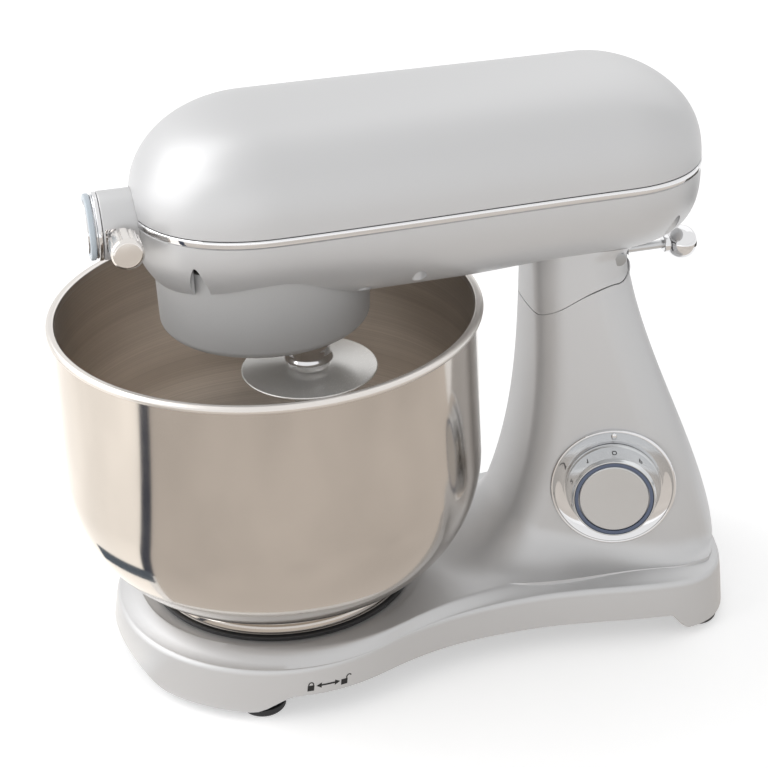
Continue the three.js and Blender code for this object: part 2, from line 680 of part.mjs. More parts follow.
function neckCasting() {
  const heights = [...along(3, 188, 228), ...along(2, 236, 256)];
  const outside = cut(loft(heights.map((z) => columnRing(z))), belowSeam(seamGap), hullSolid(fitGap, 300));
  const inside = loft([180, 215, 240, 262].map((z) => columnRing(z, columnWall)));
  const hollow = inside.intersect(box(0, 190, 226, 2 * cheekX, 120, 90));
  const underHinge = box(0, hingeY + 8, hingeHeight - 18.5, 2 * cheekX, 30, 30);
  const shell = cut(outside, hollow, underHinge, hingeRing(hingeLugRadius + runGap, cheekX, 32));
  const rib = box(ribX + ribWidth / 2, (columnFront + leverPivotY + 7) / 2, leverPivotHeight, ribWidth,
    leverPivotY + 7 - columnFront - 2, 12).subtract(hullSolid(fitGap, 300));
  const pinHoles = [hingeRing(hingePinRadius + fitGap, hingePinHalf + fitGap), leverPin(fitGap)];
  return cut(joined(shell, rib, rib.mirror([1, 0, 0])), ...pinHoles);
}

/** Pin that carries the release lever, grown by a margin for its holes. */
const leverPin = (margin = 0) => rod(2 + margin, -ribX - ribWidth - margin, ribX + ribWidth + margin, 12, leverAxis);

function buildNeck() {
  piece('neck_casting', neckCasting(), silverPaint);
  piece('lever_pin', leverPin(), gearSteel);
}

function releaseLever() {
  const clawRear = catchY - 2.5 - 0.4;
  const outline = [...arc(leverPivotY, leverPivotHeight, 5.5, 0, 180, 8), [leverPivotY - 2.5, leverPivotHeight - 8],
    [clawRear - 8, catchHeight - 3], [clawRear - 1.5, catchHeight - 3], [clawRear, catchHeight], [clawRear - 4, catchHeight + 6],
    [leverPivotY + 5.5, leverHeight - 2]];
  const plate = extrudedAcross(outline, -3, 6);
  const stem = rod(leverRodRadius, leverPivotY, leverKnobY - 6, 10, (g) => g.rotateX(-Math.PI / 2).translate(0, 0, leverHeight));
  return cut(joined(plate, stem), rod(2 + fitGap, -10, 10, 16, leverAxis));
}

function leverKnob() {
  const egg = along(5, -90, 90).map((a) => [leverKnobRadius * Math.cos(rad(a)), leverKnobHalfLength * Math.sin(rad(a))]);
  const along_ = (g) => g.rotateX(-Math.PI / 2).translate(0, leverKnobY, leverHeight);
  egg[0][0] = 0;
  egg[5][0] = 0;
  const collar = rod(5, -leverKnobHalfLength - 2.5, 0, 14, along_);
  const socket = rod(leverRodRadius + fitGap, -20, -6 + fitGap, 10, along_);
  return cut(joined(turned(egg, 16, along_), collar), socket);
}

function buildLever() {
  piece('release_lever', releaseLever(), gearSteel);
  piece('lever_knob', leverKnob(), chrome);
}

// ------------------------------------------------------------------ planetary drive
const bearingRadius = 13;
const frameTop = frameHeight + frameThickness;
const frameHalfWidth = 43.5;
const bossTop = mainGearHeight - 2;
const jackshaftRadius = 4;
const atJackshaft = (g) => g.translate(0, jackshaftY, 0);
const atMotor = (g) => g.translate(0, motorY, 0);
const atPlanet = (g) => g.translate(planetX, planetY, 0);

function gearFrame() {
  const plate = joined(rod(drumHole + 1.6, frameHeight, frameTop, 28),
    box(0, 92, (frameHeight + frameTop) / 2, 2 * frameHalfWidth, 184, frameThickness));
  const boss = rod(bearingRadius + 3.5, frameTop - 1, bossTop, 20);
  const jackBoss = rod(jackshaftRadius + 4.5, frameTop - 1, frameTop + 12, 12, atJackshaft);
  const body = joined(plate, boss, jackBoss).intersect(hullSolid(-shellWall - runGap, 300));
  const lowerSeat = rod(bearingRadius + fitGap, frameHeight - 1, frameHeight + 6.6, 20);
  const upperSeat = rod(bearingRadius + fitGap, bossTop - 6.6, bossTop + 1, 20);
  const posts = atSpots((x, y) => upright(screwWell + 2 + runGap, 250, 300, x, y));
  return cut(body, lowerSeat, upperSeat, rod(bearingRadius - 2.5, 250, 300, 20), rod(jackshaftRadius + fitGap, 250, 300, 12, atJackshaft),
    rod(motorRadius + fitGap, 250, 300, 28, atMotor), box(0, -60, 262, 52, 30, 20), ...posts);
}

function ringGear() {
  const outer = new THREE.Shape().absarc(0, 0, ringGearRadius, 0, 2 * Math.PI);
  // an inside gear is the outline of a gear with deep and shallow swapped, cut out of a ring
  const teeth = gearOutline(ringTeeth, gearModule, { addendum: 1.2, dedendum: 0.8, thinning: -0.25, steps: 1 });
  outer.holes.push(new THREE.Path(teeth.reverse()));
  return extruded(outer, ringGearBottom, gearFace, (g) => g.rotateZ(rad(planetAngle)), 16);
}
const ringGearRadius = 46;

function bearing(z0, z1) {
  return tube(carrierShaftRadius + fitGap, bearingRadius, z0, z1, 16);
}

function pulley(radius, bore, place) {
  const top = pulleyHeight + pulleyFace;
  const profile = [[bore, pulleyHeight], [radius + 1.6, pulleyHeight], [radius + 1.6, pulleyHeight + 1], [radius, pulleyHeight + 1.5],
    [radius, top - 1.5], [radius + 1.6, top - 1], [radius + 1.6, top], [bore, top], [bore, pulleyHeight]];
  return turned(profile, radius > 20 ? 20 : 12, place);
}

/** Outline of a loop round two pulleys, at a distance from their grooves. */
function loopOutline(distance) {
  const reach = motorY - jackshaftY;
  const lean = Math.asin((largePulleyRadius - smallPulleyRadius) / reach);
  const path = new THREE.Shape();
  path.absarc(0, jackshaftY, largePulleyRadius + distance, Math.PI - lean, 2 * Math.PI + lean, false);
  path.absarc(0, motorY, smallPulleyRadius + distance, lean, Math.PI - lean, false);
  path.closePath();
  return path;
}

function driveBelt() {
  const loop = loopOutline(fitGap + beltThickness);
  loop.holes.push(new THREE.Path(loopOutline(fitGap).getPoints(9).reverse()));
  return extruded(loop, pulleyHeight + 1.9, pulleyFace - 3.8, undefined, 9);
}

function motorCan() {
  const flange = frameTop + fitGap;
  return turned([[6, motorBottom], [motorRadius - 2, motorBottom], [motorRadius, motorBottom + 2], [motorRadius, flange],
    [frameHalfWidth - 2, flange], [frameHalfWidth - 2, flange + 2.4], [motorRadius, flange + 2.4], [motorRadius, motorTop],
    [motorRadius - 2, motorTop], [motorRadius - 2, motorBottom + 2.4], [6, motorBottom + 2.4], [6, motorBottom]], 20, atMotor);
}

/** Star-shaped outline with round-ended slots left out, used for the motor's laminations. */
function slottedOutline(count, inner, outer, share) {
  return Array.from({ length: count }, (_, i) => {
    const middle = (2 * Math.PI * i) / count;
    const half = (Math.PI / count) * share;
    const next = (Math.PI / count) * (2 - share);
    return [[outer, middle - half], [outer, middle + half], [inner, middle + half], [inner, middle + next]];
  }).flat().map(([r, a]) => new THREE.Vector2(r * Math.cos(a), r * Math.sin(a)));
}

function motorStator() {
  const ring = new THREE.Shape().absarc(0, 0, motorRadius - 3, 0, 2 * Math.PI);
  ring.holes.push(new THREE.Path(slottedOutline(6, rotorRadius + 2, motorRadius - 8, 0.45).reverse()));
  return extruded(ring, motorBottom + 8, 34, atMotor, 20);
}
const rotorRadius = 21;

function motorRotor() {
  const core = extruded(new THREE.Shape(slottedOutline(12, rotorRadius - 6, rotorRadius, 0.7)), motorBottom + 8, 34, atMotor);
  const shaft = rod(4, motorBottom - 11, pulleyHeight + pulleyFace, 16, atMotor);
  return joined(core, shaft);
}

function motorFan() {
  const disc = tube(4 + fitGap, 30, motorTop + 2.2, motorTop + 3.8, 18, atMotor);
  const hub = tube(4 + fitGap, 8, motorTop + 2.2, motorTop + 9, 12, atMotor);
  const blades = along(7, 0, 315).map((a) => solid(new THREE.BoxGeometry(21.4, 1.4, 5).translate(17.6, 0, motorTop + 6.1)
    .rotateZ(rad(a)).translate(0, motorY, 0)));
  return joined(disc, hub, ...blades);
}

function jackshaft() {
  const pinion = spurGear(pinionTeeth, driveModule, 0, mainGearHeight - 0.5, mainGearFace + 1, drivePressure);
  return joined(pinion, rod(jackshaftRadius, frameHeight + 1, pulleyHeight + pulleyFace, 12)).translate([0, jackshaftY, 0]);
}
const drivePressure = { pressure: 25, thinning: 0.25, steps: 1 };

function mainGear() {
  const gear = spurGear(mainTeeth, driveModule, carrierShaftRadius + fitGap, mainGearHeight, mainGearFace, drivePressure);
  const recess = tube(carrierShaftRadius + 6, (driveModule * mainTeeth) / 2 - 6, mainGearHeight + 4, mainGearHeight + 20, 16);
  const holes = along(4, 0, 288).map((a) => rod(5, 280, 300, 6, (g) => g.translate(21, 0, 0).rotateZ(rad(a))));
  return cut(gear, recess, ...holes);
}

function carrierShaft() {
  return turned([[0, drumBottom + 6], [carrierShaftRadius, drumBottom + 6], [carrierShaftRadius, mainGearHeight + mainGearFace + 3],
    [0, mainGearHeight + mainGearFace + 3]], 16);
}

const beaterBossRadius = 11.6;
function planetaryHub() {
  const floor = drumBottom + 4.2;
  const shell = turned([[0, drumBottom], [drumRadius - 3.5, drumBottom], [drumRadius - 1, drumBottom + 1], [drumRadius, drumBottom + 3.5],
    [drumRadius + 1.2, drumTop], [drumRadius + 1.2 - drumWall, drumTop], [drumRadius - drumWall, floor], [0, floor]], 32);
  const centre = rod(carrierShaftRadius + 3.5, floor - 1, floor + 12, 14);
  const boss = rod(beaterBossRadius, floor - 1, ringGearBottom - 4, 14, atPlanet);
  const ribs = along(4, 130, 326).map((a) => solid(new THREE.BoxGeometry(drumRadius - 12, 2.4, 9)
    .translate((drumRadius + 5) / 2, 0, floor + 4).rotateZ(rad(a))));
  return cut(joined(shell, centre, boss, ...ribs), rod(carrierShaftRadius + fitGap, drumBottom + 6 - fitGap, 300, 16),
    rod(shaftRadius + runGap, 200, 300, 14, atPlanet));
}
const shaftRadius = 5;

// ------------------------------------------------------------------ beater group
const shaftBottom = guardHeight - 6;

function beaterShaft() {
  const shaft = turned([[0, shaftBottom], [shaftRadius, shaftBottom], [shaftRadius, frameHeight - 1], [0, frameHeight - 1]], 14, atPlanet);
  const lockPin = rod(1.8, -9, 9, 10, (g) => g.rotateY(Math.PI / 2).translate(planetX, planetY, guardHeight - 2.5));
  return joined(shaft, lockPin);
}

function planetPinion() {
  const options = { addendum: 0.8, thinning: 0.35, steps: 1 };
  const gear = spurGear(planetTeeth, gearModule, shaftRadius + fitGap, ringGearBottom, gearFace - 0.7, options);
  return gear.rotate([0, 0, planetAngle]).translate([planetX, planetY, 0]);
}

function shaftSleeve() {
  const bottom = guardHeight + 4.9;
  const profile = [[shaftRadius + fitGap, bottom], [sleeveFlange, bottom], [sleeveFlange, bottom + 2], [sleeveRadius, bottom + 3.2],
    [sleeveRadius, drumBottom - runGap], [shaftRadius + fitGap, drumBottom - runGap], [shaftRadius + fitGap, bottom]];
  return turned(profile, 18, atPlanet);
}

function splashGuard() {
  const z = guardHeight;
  const profile = [[shaftRadius + fitGap, z + 0.6], [guardRadius - 1, z - 1.4], [guardRadius, z - 0.6], [guardRadius - 0.6, z + 0.2],
    [12, z + 2], [10, z + 4.5], [shaftRadius + fitGap, z + 4.5], [shaftRadius + fitGap, z + 0.6]];
  return turned(profile, 26, atPlanet);
}

/** Path of the dough hook: it swings out from the shaft and curls back in under it. */
function hookPath() {
  const points = along(14, 0, 1).map((t) => {
    const reach = hookReach * Math.sin(Math.PI * Math.min(1, t / 0.94)) ** 0.8 * (1 - 0.25 * t) * Math.sign(0.94 - t + 1e-6) + 4 * smooth((t - 0.8) / 0.2);
    const turn = rad(hookStart + hookSweep * t);
    const z = THREE.MathUtils.lerp(guardHeight - 20, hookBottom + hookRod, Math.sin((Math.PI / 2) * t ** 0.9));
    return new THREE.Vector3(planetX + reach * Math.cos(turn), planetY + reach * Math.sin(turn), z);
  });
  return new THREE.CatmullRomCurve3(points);
}
const hookStart = 150;
const hookSweep = 200;

function doughHook() {
  const socketTop = guardHeight - 2;
  const socket = rod(shaftRadius + 4.5, guardHeight - 24, socketTop, 16, atPlanet);
  const bore = rod(shaftRadius + fitGap, shaftBottom - fitGap, guardHeight, 12, atPlanet);
  const slot = rod(1.8 + fitGap, -12, 12, 10, (g) => g.rotateY(Math.PI / 2).translate(planetX, planetY, guardHeight - 2.5));
  return cut(joined(socket, bar(hookPath(), hookRod, 22, 4)), bore, slot);
}

// ------------------------------------------------------------------ accessory hub
const hubRear = 62.2;

function hubBarrel() {
  const profile = [[6, hubRear], [hubRadius - 0.6, hubRear], [hubRadius, hubRear + 0.6], [hubRadius, hubFront - 1], [hubRadius - 1, hubFront],
    [hubBore, hubFront], [hubBore, hubRear + 3], [6, hubRear + 3], [6, hubRear]];
  const screwHole = rod(3.5 + fitGap, 10, 30, 12, thumbAxis);
  return cut(turned(profile, 24, alongFront), screwHole);
}
const thumbAxis = (g) => g.rotateY(Math.PI / 2).translate(0, thumbScrewY, hubHeight);

function hubCap() {
  const face = hubFront + hubCapThickness;
  const z0 = hubFront + fitGap;
  return turned([[0, hubFront - 8], [hubBore - 0.6, hubFront - 8], [hubBore - 0.6, z0], [hubRadius, z0], [hubRadius, z0 + 2.2],
    [hubRadius - 1.4, z0 + 2.6], [hubRadius - 1.4, z0 + 3.4], [14.4, z0 + 3.4], [14.4, face - 1], [13.4, face], [0, face]], 24, alongFront);
}

function hubCapRing() {
  const z0 = hubFront + fitGap + 3.4 + fitGap;
  const face = hubFront + hubCapThickness;
  return turned([[14.4 + fitGap, z0], [hubRadius - 1.4, z0], [hubRadius - 0.6, z0 + 1], [hubRadius - 0.6, face - 1.8], [hubRadius - 1.6, face - 0.8],
    [14.4 + fitGap, face - 0.8], [14.4 + fitGap, z0]], 24, alongFront);
}

function thumbScrew() {
  const headStart = thumbScrewEnd - 17;
  const profile = [[0, 15.8], [3.5, 15.8], [3.5, hubRadius + 3], [5, hubRadius + 3.6], [5, headStart], [thumbScrewRadius - 1, headStart],
    [thumbScrewRadius, headStart + 1], [thumbScrewRadius, thumbScrewEnd - 2], [thumbScrewRadius - 2, thumbScrewEnd], [0, thumbScrewEnd]];
  const flutes = along(7, 0, 315).map((a) => rod(1.7, headStart - 1, thumbScrewEnd + 1, 6,
    (g) => thumbAxis(g.translate(thumbScrewRadius + 0.5, 0, 0).rotateZ(rad(a + 22.5)))));
  return cut(turned(profile, 16, thumbAxis), ...flutes);
}

// ------------------------------------------------------------------ speed dial
const bezelSeat = -0.9;
const grooveRadius = knobRadius + 0.6;

function dialBezel() {
  const profile = [[7 + fitGap, bezelSeat], [bezelRadius, bezelSeat], [bezelRadius, 1.2], [bezelRadius - 1.4, 2.6], [grooveRadius + 2, 1.4],
    [grooveRadius, 0.6], [grooveRadius - 2, 0.6], [grooveRadius - 2, bezelSeat + 1], [7 + fitGap, bezelSeat + 1], [7 + fitGap, bezelSeat]];
  return turned(profile, 24, onDial);
}

function speedKnob() {
  const profile = [[0, 0.9], [knobRadius - 0.8, 0.9], [knobRadius, 1.7], [knobRadius - 0.6, 6], [knobFaceRadius + 1.2, knobReach - 2],
    [knobFaceRadius, knobReach], [knobFaceRadius - 0.3, knobReach], [knobFaceRadius - 0.3, knobReach - 1.6], [0, knobReach - 1.6]];
  const spindle = rod(3, -9, 2, 10, onDial);
  return joined(turned(profile, 24, onDial), spindle);
}

const knobLightRing = () => tube(knobLightInner, knobFaceRadius - 0.6, knobReach - 1.3, knobReach - 0.2, 24, onDial);
const knobLightInner = knobFaceRadius - 2.6;
const knobFace = () => turned([[0, knobReach - 1.3], [knobLightInner - 0.3, knobReach - 1.3],
  [knobLightInner - 0.3, knobReach - 0.9], [knobLightInner - 1, knobReach - 0.2],
  [0, knobReach - 0.5]], 20, onDial);

const speedSwitch = () => tube(3.5, 11, -12.5, columnWallBack, 16, onDial);
const columnWallBack = -3.7;
const controlBoard = () => solid(onDial(new THREE.BoxGeometry(46, 40, 1.6).translate(0, -6, -13.6)));

function buildBeater() {
  piece('beater_shaft', beaterShaft(), gearSteel);
  piece('planet_pinion', planetPinion(), gearSteel);
  piece('shaft_sleeve', shaftSleeve(), chrome);
  piece('splash_guard', splashGuard(), polishedSteel);
  piece('dough_hook', doughHook(), polishedSteel);
}

function buildDrive() {
  piece('gear_frame', gearFrame(), castAlloy);
  piece('ring_gear', ringGear(), gearSteel);
  piece('carrier_bearing_lower', bearing(frameHeight, frameHeight + 6), gearSteel);
  piece('carrier_bearing_upper', bearing(bossTop - 6, bossTop), gearSteel);
  piece('planetary_hub', planetaryHub(), satinSilver);
  piece('carrier_shaft', carrierShaft(), gearSteel);
  piece('main_gear', mainGear(), castAlloy);
  piece('jackshaft', jackshaft(), gearSteel);
  piece('large_pulley', pulley(largePulleyRadius, jackshaftRadius + fitGap, atJackshaft), castAlloy);
  piece('drive_belt', driveBelt(), blackRubber);
  piece('motor_can', motorCan(), gearSteel);
  piece('motor_stator', motorStator(), copper);
  piece('motor_rotor', motorRotor(), gearSteel);
  piece('motor_pulley', pulley(smallPulleyRadius, 4 + fitGap, atMotor), castAlloy);
  piece('motor_fan', motorFan(), blackPlastic);
}

function buildHub() {
  piece('hub_barrel', hubBarrel(), satinSilver);
  piece('hub_cap', hubCap(), chrome);
  piece('hub_cap_ring', hubCapRing(), greyPlastic);
  piece('thumb_screw', thumbScrew(), chrome);
}

function buildDial() {
  piece('dial_bezel', dialBezel(), chrome);
  piece('speed_knob', speedKnob(), chrome);
  piece('knob_light_ring', knobLightRing(), lightGuide);
  piece('knob_face', knobFace(), satinSilver);
  piece('speed_switch', speedSwitch(), blackPlastic);
  piece('control_board', controlBoard(), boardGreen);
}

buildHead();
buildBase();
buildBowl();
buildNeck();
buildLever();
buildDrive();
buildBeater();
buildHub();
buildDial();

const extent = new THREE.Box3().setFromObject(mixer);
mixer.position.y = -(extent.min.y + extent.max.y) / 2;

export default mixer;
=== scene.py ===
"""Looks of a tilt-head stand mixer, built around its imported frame.

Sizes are in millimetres in a frame whose Z axis is the axis of the bowl and whose Z = 0 is the
floor. The front points to -Y and the speed dial faces +X. `Surface.build` moves every piece into
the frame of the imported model, in metres.
"""

from __future__ import annotations

import json
import logging
import math
from collections.abc import Callable, Sequence
from dataclasses import dataclass, field
from enum import Enum

import bmesh
import bpy
import numpy as np
from mathutils import Matrix, Vector

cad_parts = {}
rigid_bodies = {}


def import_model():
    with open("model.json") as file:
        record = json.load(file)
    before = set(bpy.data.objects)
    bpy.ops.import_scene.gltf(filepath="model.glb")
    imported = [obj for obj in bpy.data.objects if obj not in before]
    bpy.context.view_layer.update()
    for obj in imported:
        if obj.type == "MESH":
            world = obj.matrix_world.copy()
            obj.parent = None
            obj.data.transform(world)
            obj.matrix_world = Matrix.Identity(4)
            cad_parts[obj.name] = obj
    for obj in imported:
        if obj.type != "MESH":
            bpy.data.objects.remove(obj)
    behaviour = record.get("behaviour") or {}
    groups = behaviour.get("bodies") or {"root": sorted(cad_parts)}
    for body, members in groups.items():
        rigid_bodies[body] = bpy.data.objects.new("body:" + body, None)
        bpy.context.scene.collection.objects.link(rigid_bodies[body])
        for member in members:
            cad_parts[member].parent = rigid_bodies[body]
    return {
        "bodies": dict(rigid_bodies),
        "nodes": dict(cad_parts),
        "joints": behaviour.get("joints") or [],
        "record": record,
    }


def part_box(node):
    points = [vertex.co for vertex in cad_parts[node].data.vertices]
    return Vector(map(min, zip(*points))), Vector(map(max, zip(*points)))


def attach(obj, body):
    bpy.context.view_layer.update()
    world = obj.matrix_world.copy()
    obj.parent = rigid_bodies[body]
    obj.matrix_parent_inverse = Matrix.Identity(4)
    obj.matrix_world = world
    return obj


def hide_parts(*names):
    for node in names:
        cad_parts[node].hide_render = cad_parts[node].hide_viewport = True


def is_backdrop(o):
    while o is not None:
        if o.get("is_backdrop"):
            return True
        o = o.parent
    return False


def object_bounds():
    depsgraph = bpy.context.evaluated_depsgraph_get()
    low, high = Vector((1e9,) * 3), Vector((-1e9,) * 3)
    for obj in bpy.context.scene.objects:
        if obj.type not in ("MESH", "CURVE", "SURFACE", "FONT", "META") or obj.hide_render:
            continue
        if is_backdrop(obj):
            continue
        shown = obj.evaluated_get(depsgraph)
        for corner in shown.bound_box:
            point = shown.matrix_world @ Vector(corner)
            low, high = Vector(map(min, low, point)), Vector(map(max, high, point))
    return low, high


log = logging.getLogger("mixer")
Array = np.ndarray
MM = 0.001
RUN_GAP = 0.6
FIT_GAP = 0.3
LUG_BEARINGS = (90, 210, 330)
LUG_WIDTH = 30


def placed(name: str, data: bpy.types.ID) -> bpy.types.Object:
    """Makes an object of some data and links it to the scene."""
    thing = bpy.data.objects.new(name, data)
    bpy.context.scene.collection.objects.link(thing)
    return thing


def tinted(colour: Sequence[float], share: float) -> tuple[float, ...]:
    """A colour with each channel multiplied by a share."""
    return tuple(c * share for c in colour)


# ------------------------------------------------------------------ shader expressions
class Value:
    """A socket that carries a number or a colour, with the arithmetic of Math nodes on it."""

    def __init__(self, shader: Shader, socket: bpy.types.NodeSocket) -> None:
        """Wraps a socket of a shader's tree."""
        self.shader = shader
        self.socket = socket

    def _math(self, operation: str, *terms: Value | float) -> Value:
        """Adds a Math node that works on the terms."""
        return self.shader.node("ShaderNodeMath", {"operation": operation}, dict(enumerate(terms)))

    def __add__(self, other: Value | float) -> Value:
        """Sum."""
        return self._math("ADD", self, other)

    def __sub__(self, other: Value | float) -> Value:
        """Difference."""
        return self._math("SUBTRACT", self, other)

    def __mul__(self, other: Value | float) -> Value:
        """Product."""
        return self._math("MULTIPLY", self, other)

    def __rsub__(self, other: float) -> Value:
        """Reflected difference."""
        return self._math("SUBTRACT", other, self)

    def __pow__(self, other: float) -> Value:
        """Power."""
        return self._math("POWER", self, other)

    __radd__ = __add__
    __rmul__ = __mul__

    def clipped(self) -> Value:
        """The value held between 0 and 1."""
        return self._math("MAXIMUM", self._math("MINIMUM", self, 1.0), 0.0)


class Shader:
    """A material's node tree, with one Principled surface."""

    def __init__(self, name: str, colour: Sequence[float], roughness: float, metallic: float,
                 **constants: float) -> None:
        """Makes the material.

        Args:
            name: name of the material.
            colour: base colour, linear.
            roughness: plain roughness before any variation.
            metallic: share of metal.
            constants: other Principled sockets, with underscores for the spaces of their names.
        """
        self.material = bpy.data.materials.new(name)
        self.material.use_nodes = True
        self.material.diffuse_color = (*colour, 1.0)
        self.nodes = self.material.node_tree.nodes
        self.links = self.material.node_tree.links
        self.surface = self.nodes["Principled BSDF"]
        self.surface.inputs["Base Color"].default_value = (*colour, 1.0)
        self.surface.inputs["Roughness"].default_value = roughness
        self.surface.inputs["Metallic"].default_value = metallic
        for key, value in constants.items():
            self.surface.inputs[key.replace("_", " ").title().replace("Ior", "IOR")].default_value = value

    def node(self, kind: str, settings: dict[str, object] | None = None,
             inputs: dict[object, object] | None = None, output: int | str = 0) -> Value:
        """Adds one node.

        Args:
            kind: the node's type.
            settings: attributes set before the sockets; "stops" fills a colour ramp.
            inputs: values or links, by socket name or number.
            output: the socket that is returned.

        Returns:
            The chosen output.
        """
        node = self.nodes.new(kind)
        for key, value in (settings or {}).items():
            if key == "stops":
                self._fill_ramp(node.color_ramp, value)
            else:
                setattr(node, key, value)
        for key, value in (inputs or {}).items():
            if isinstance(value, Value):
                self.links.new(value.socket, node.inputs[key])
            else:
                node.inputs[key].default_value = value
        return Value(self, node.outputs[output])

    @staticmethod
    def _fill_ramp(ramp: bpy.types.ColorRamp, stops: Sequence[tuple[float, float]]) -> None:
        """Sets a grey ramp from pairs of place and level."""
        while len(ramp.elements) < len(stops):
            ramp.elements.new(0.5)
        for element, (place, level) in zip(ramp.elements, stops):
            element.position = place
            element.color = (level, level, level, 1.0)

    def place(self) -> Value:
        """Object coordinates, in metres."""
        return self.node("ShaderNodeTexCoord", output="Object")

    def noise(self, scale: float, detail: float = 2.0, vector: Value | None = None) -> Value:
        """Noise between 0 and 1 at a number of cells in a metre."""
        return self.node("ShaderNodeTexNoise", None,
                         {"Vector": vector or self.place(), "Scale": scale, "Detail": detail})

    def ramp(self, value: Value, *stops: tuple[float, float]) -> Value:
        """A value passed through a grey ramp."""
        return self.node("ShaderNodeValToRGB", {"stops": stops}, {"Fac": value})

    def mix(self, share: Value | float, first: object, second: object) -> Value:
        """A colour between two colours."""
        colours = [(*c, 1.0) if isinstance(c, (tuple, list)) else c for c in (first, second)]
        return self.node("ShaderNodeMix", {"data_type": "RGBA"},
                         {0: share, 6: colours[0], 7: colours[1]}, 2)

    def to(self, socket: str, value: Value) -> None:
        """Links a value to a socket of the surface."""
        self.links.new(value.socket, self.surface.inputs[socket])

    def bump(self, height: Value, distance: float, strength: float = 1.0) -> None:
        """Links a height, in metres at its full value, to the normal."""
        normal = self.node("ShaderNodeBump", None,
                           {"Height": height, "Distance": distance, "Strength": strength})
        self.to("Normal", normal)

    def polar(self, centre: Sequence[float], along: Axis) -> tuple[Value, Value]:
        """Distance from an axis through a centre, and height along it, both in metres."""
        split = [self.node("ShaderNodeSeparateXYZ", None, {"Vector": self.place()}, i)
                 for i in range(3)]
        across = [i for i in range(3) if i != along.value]
        first, second = (split[i] - centre[i] for i in across)
        return (first * first + second * second) ** 0.5, split[along.value] - centre[along.value]


class Axis(Enum):
    """Axes of the row frame."""

    X = 0
    Y = 1
    Z = 2


# ------------------------------------------------------------------ finishes
@dataclass(frozen=True)
class Paint:
    """Metallic silver paint under a clear coat."""

    name: str
    colour: tuple[float, float, float] = (0.56, 0.565, 0.57)
    roughness: float = 0.42
    metallic: float = 0.45
    coat: float = 0.12
    grain: float = 0.05
    flake_scale: float = 2600.0
    drift_scale: float = 7.0
    peel_scale: float = 260.0

    def material(self) -> bpy.types.Material:
        """Fine flakes change the colour and the roughness; a slow drift keeps it from being flat."""
        shader = Shader(self.name, self.colour, self.roughness, self.metallic,
                        coat_roughness=0.3, coat_ior=1.5)
        flakes = shader.noise(self.flake_scale, 1.0)
        drift = shader.noise(self.drift_scale, 1.0)
        level = (flakes - 0.5) * self.grain + (drift - 0.5) * 0.05
        dark = tinted(self.colour, 0.86)
        light = tuple(min(1.0, c * 1.14) for c in self.colour)
        shader.to("Base Color", shader.mix((level + 0.5).clipped(), dark, light))
        shader.to("Roughness", (flakes - 0.5) * 0.10 + (drift - 0.5) * 0.06 + self.roughness)
        shader.surface.inputs["Coat Weight"].default_value = self.coat
        peel = shader.noise(self.peel_scale, 0.0)
        shader.bump(flakes * 0.25 + peel, 0.000012, 0.6)
        return shader.material


@dataclass(frozen=True)
class Metal:
    """Bare or plated metal, with faint handling marks."""

    name: str
    colour: tuple[float, float, float]
    roughness: float
    smudge: float = 0.04
    grain: float = 0.0

    def material(self) -> bpy.types.Material:
        """Soft cloudy smudges change the roughness; the grain is a fine bump of the surface."""
        shader = Shader(self.name, self.colour, self.roughness, 1.0)
        clouds = shader.noise(38.0, 3.0)
        shader.to("Roughness", (clouds - 0.5) * (2 * self.smudge) + self.roughness)
        shader.to("Base Color", shader.mix(clouds, tinted(self.colour, 0.93), self.colour))
        fine = shader.noise(900.0, 2.0)
        shader.bump(fine, 0.00001 + self.grain, 0.3)
        return shader.material


@dataclass(frozen=True)
class Brushed:
    """Metal brushed in rings about an axis."""

    name: str
    colour: tuple[float, float, float]
    roughness: float
    centre: tuple[float, float, float]
    axis: Axis = Axis.Z
    pitch: float = 1700.0
    depth: float = 0.00002

    def material(self) -> bpy.types.Material:
        """Noise that depends only on radius and height draws the rings left by the brush."""
        shader = Shader(self.name, self.colour, self.roughness, 1.0)
        radius, height = shader.polar(self.centre, self.axis)
        rings = shader.node("ShaderNodeCombineXYZ", None, {0: radius, 1: height})
        fine = shader.noise(self.pitch, 2.0, rings)
        broad = shader.noise(self.pitch / 9, 2.0, rings)
        patches = shader.noise(24.0, 2.0)
        level = fine * 0.5 + broad * 0.3 + patches * 0.2
        share = shader.ramp(level, (0.36, 0.0), (0.62, 1.0))
        shader.to("Base Color", shader.mix(share, tinted(self.colour, 0.78), self.colour))
        shader.to("Roughness", (level - 0.5) * 0.3 + self.roughness)
        shader.bump(fine + broad * 0.5, self.depth, 0.5)
        return shader.material


@dataclass(frozen=True)
class Moulded:
    """Moulded plastic or rubber with a fine grain."""

    name: str
    colour: tuple[float, float, float]
    roughness: float
    grain: float = 0.00004
    scale: float = 1500.0

    def material(self) -> bpy.types.Material:
        """A pebbled bump and a slow change of roughness."""
        shader = Shader(self.name, self.colour, self.roughness, 0.0)
        pebbles = shader.noise(self.scale, 2.0)
        drift = shader.noise(30.0, 2.0)
        lifted = tuple(min(1.0, c * 1.25 + 0.004) for c in self.colour)
        shader.to("Base Color", shader.mix(pebbles * 0.6 + drift * 0.4, self.colour, lifted))
        shader.to("Roughness", (drift - 0.5) * 0.14 + (pebbles - 0.5) * 0.1 + self.roughness)
        shader.bump(pebbles, self.grain, 0.5)
        return shader.material


# ------------------------------------------------------------------ surfaces
def smooth(t: Array | float) -> Array:
    """Rises from 0 to 1 as t goes from 0 to 1, level at both ends: 3t² - 2t³."""
    t = np.clip(t, 0.0, 1.0)
    return t * t * (3.0 - 2.0 * t)


def arc(x: float, y: float, radius: float, start: float, end: float, count: int = 8) -> Array:
    """Points on a circle about (x, y) from one angle in degrees to another."""
    angle = np.radians(np.linspace(start, end, count + 1))
    return np.column_stack([x + radius * np.cos(angle), y + radius * np.sin(angle)])


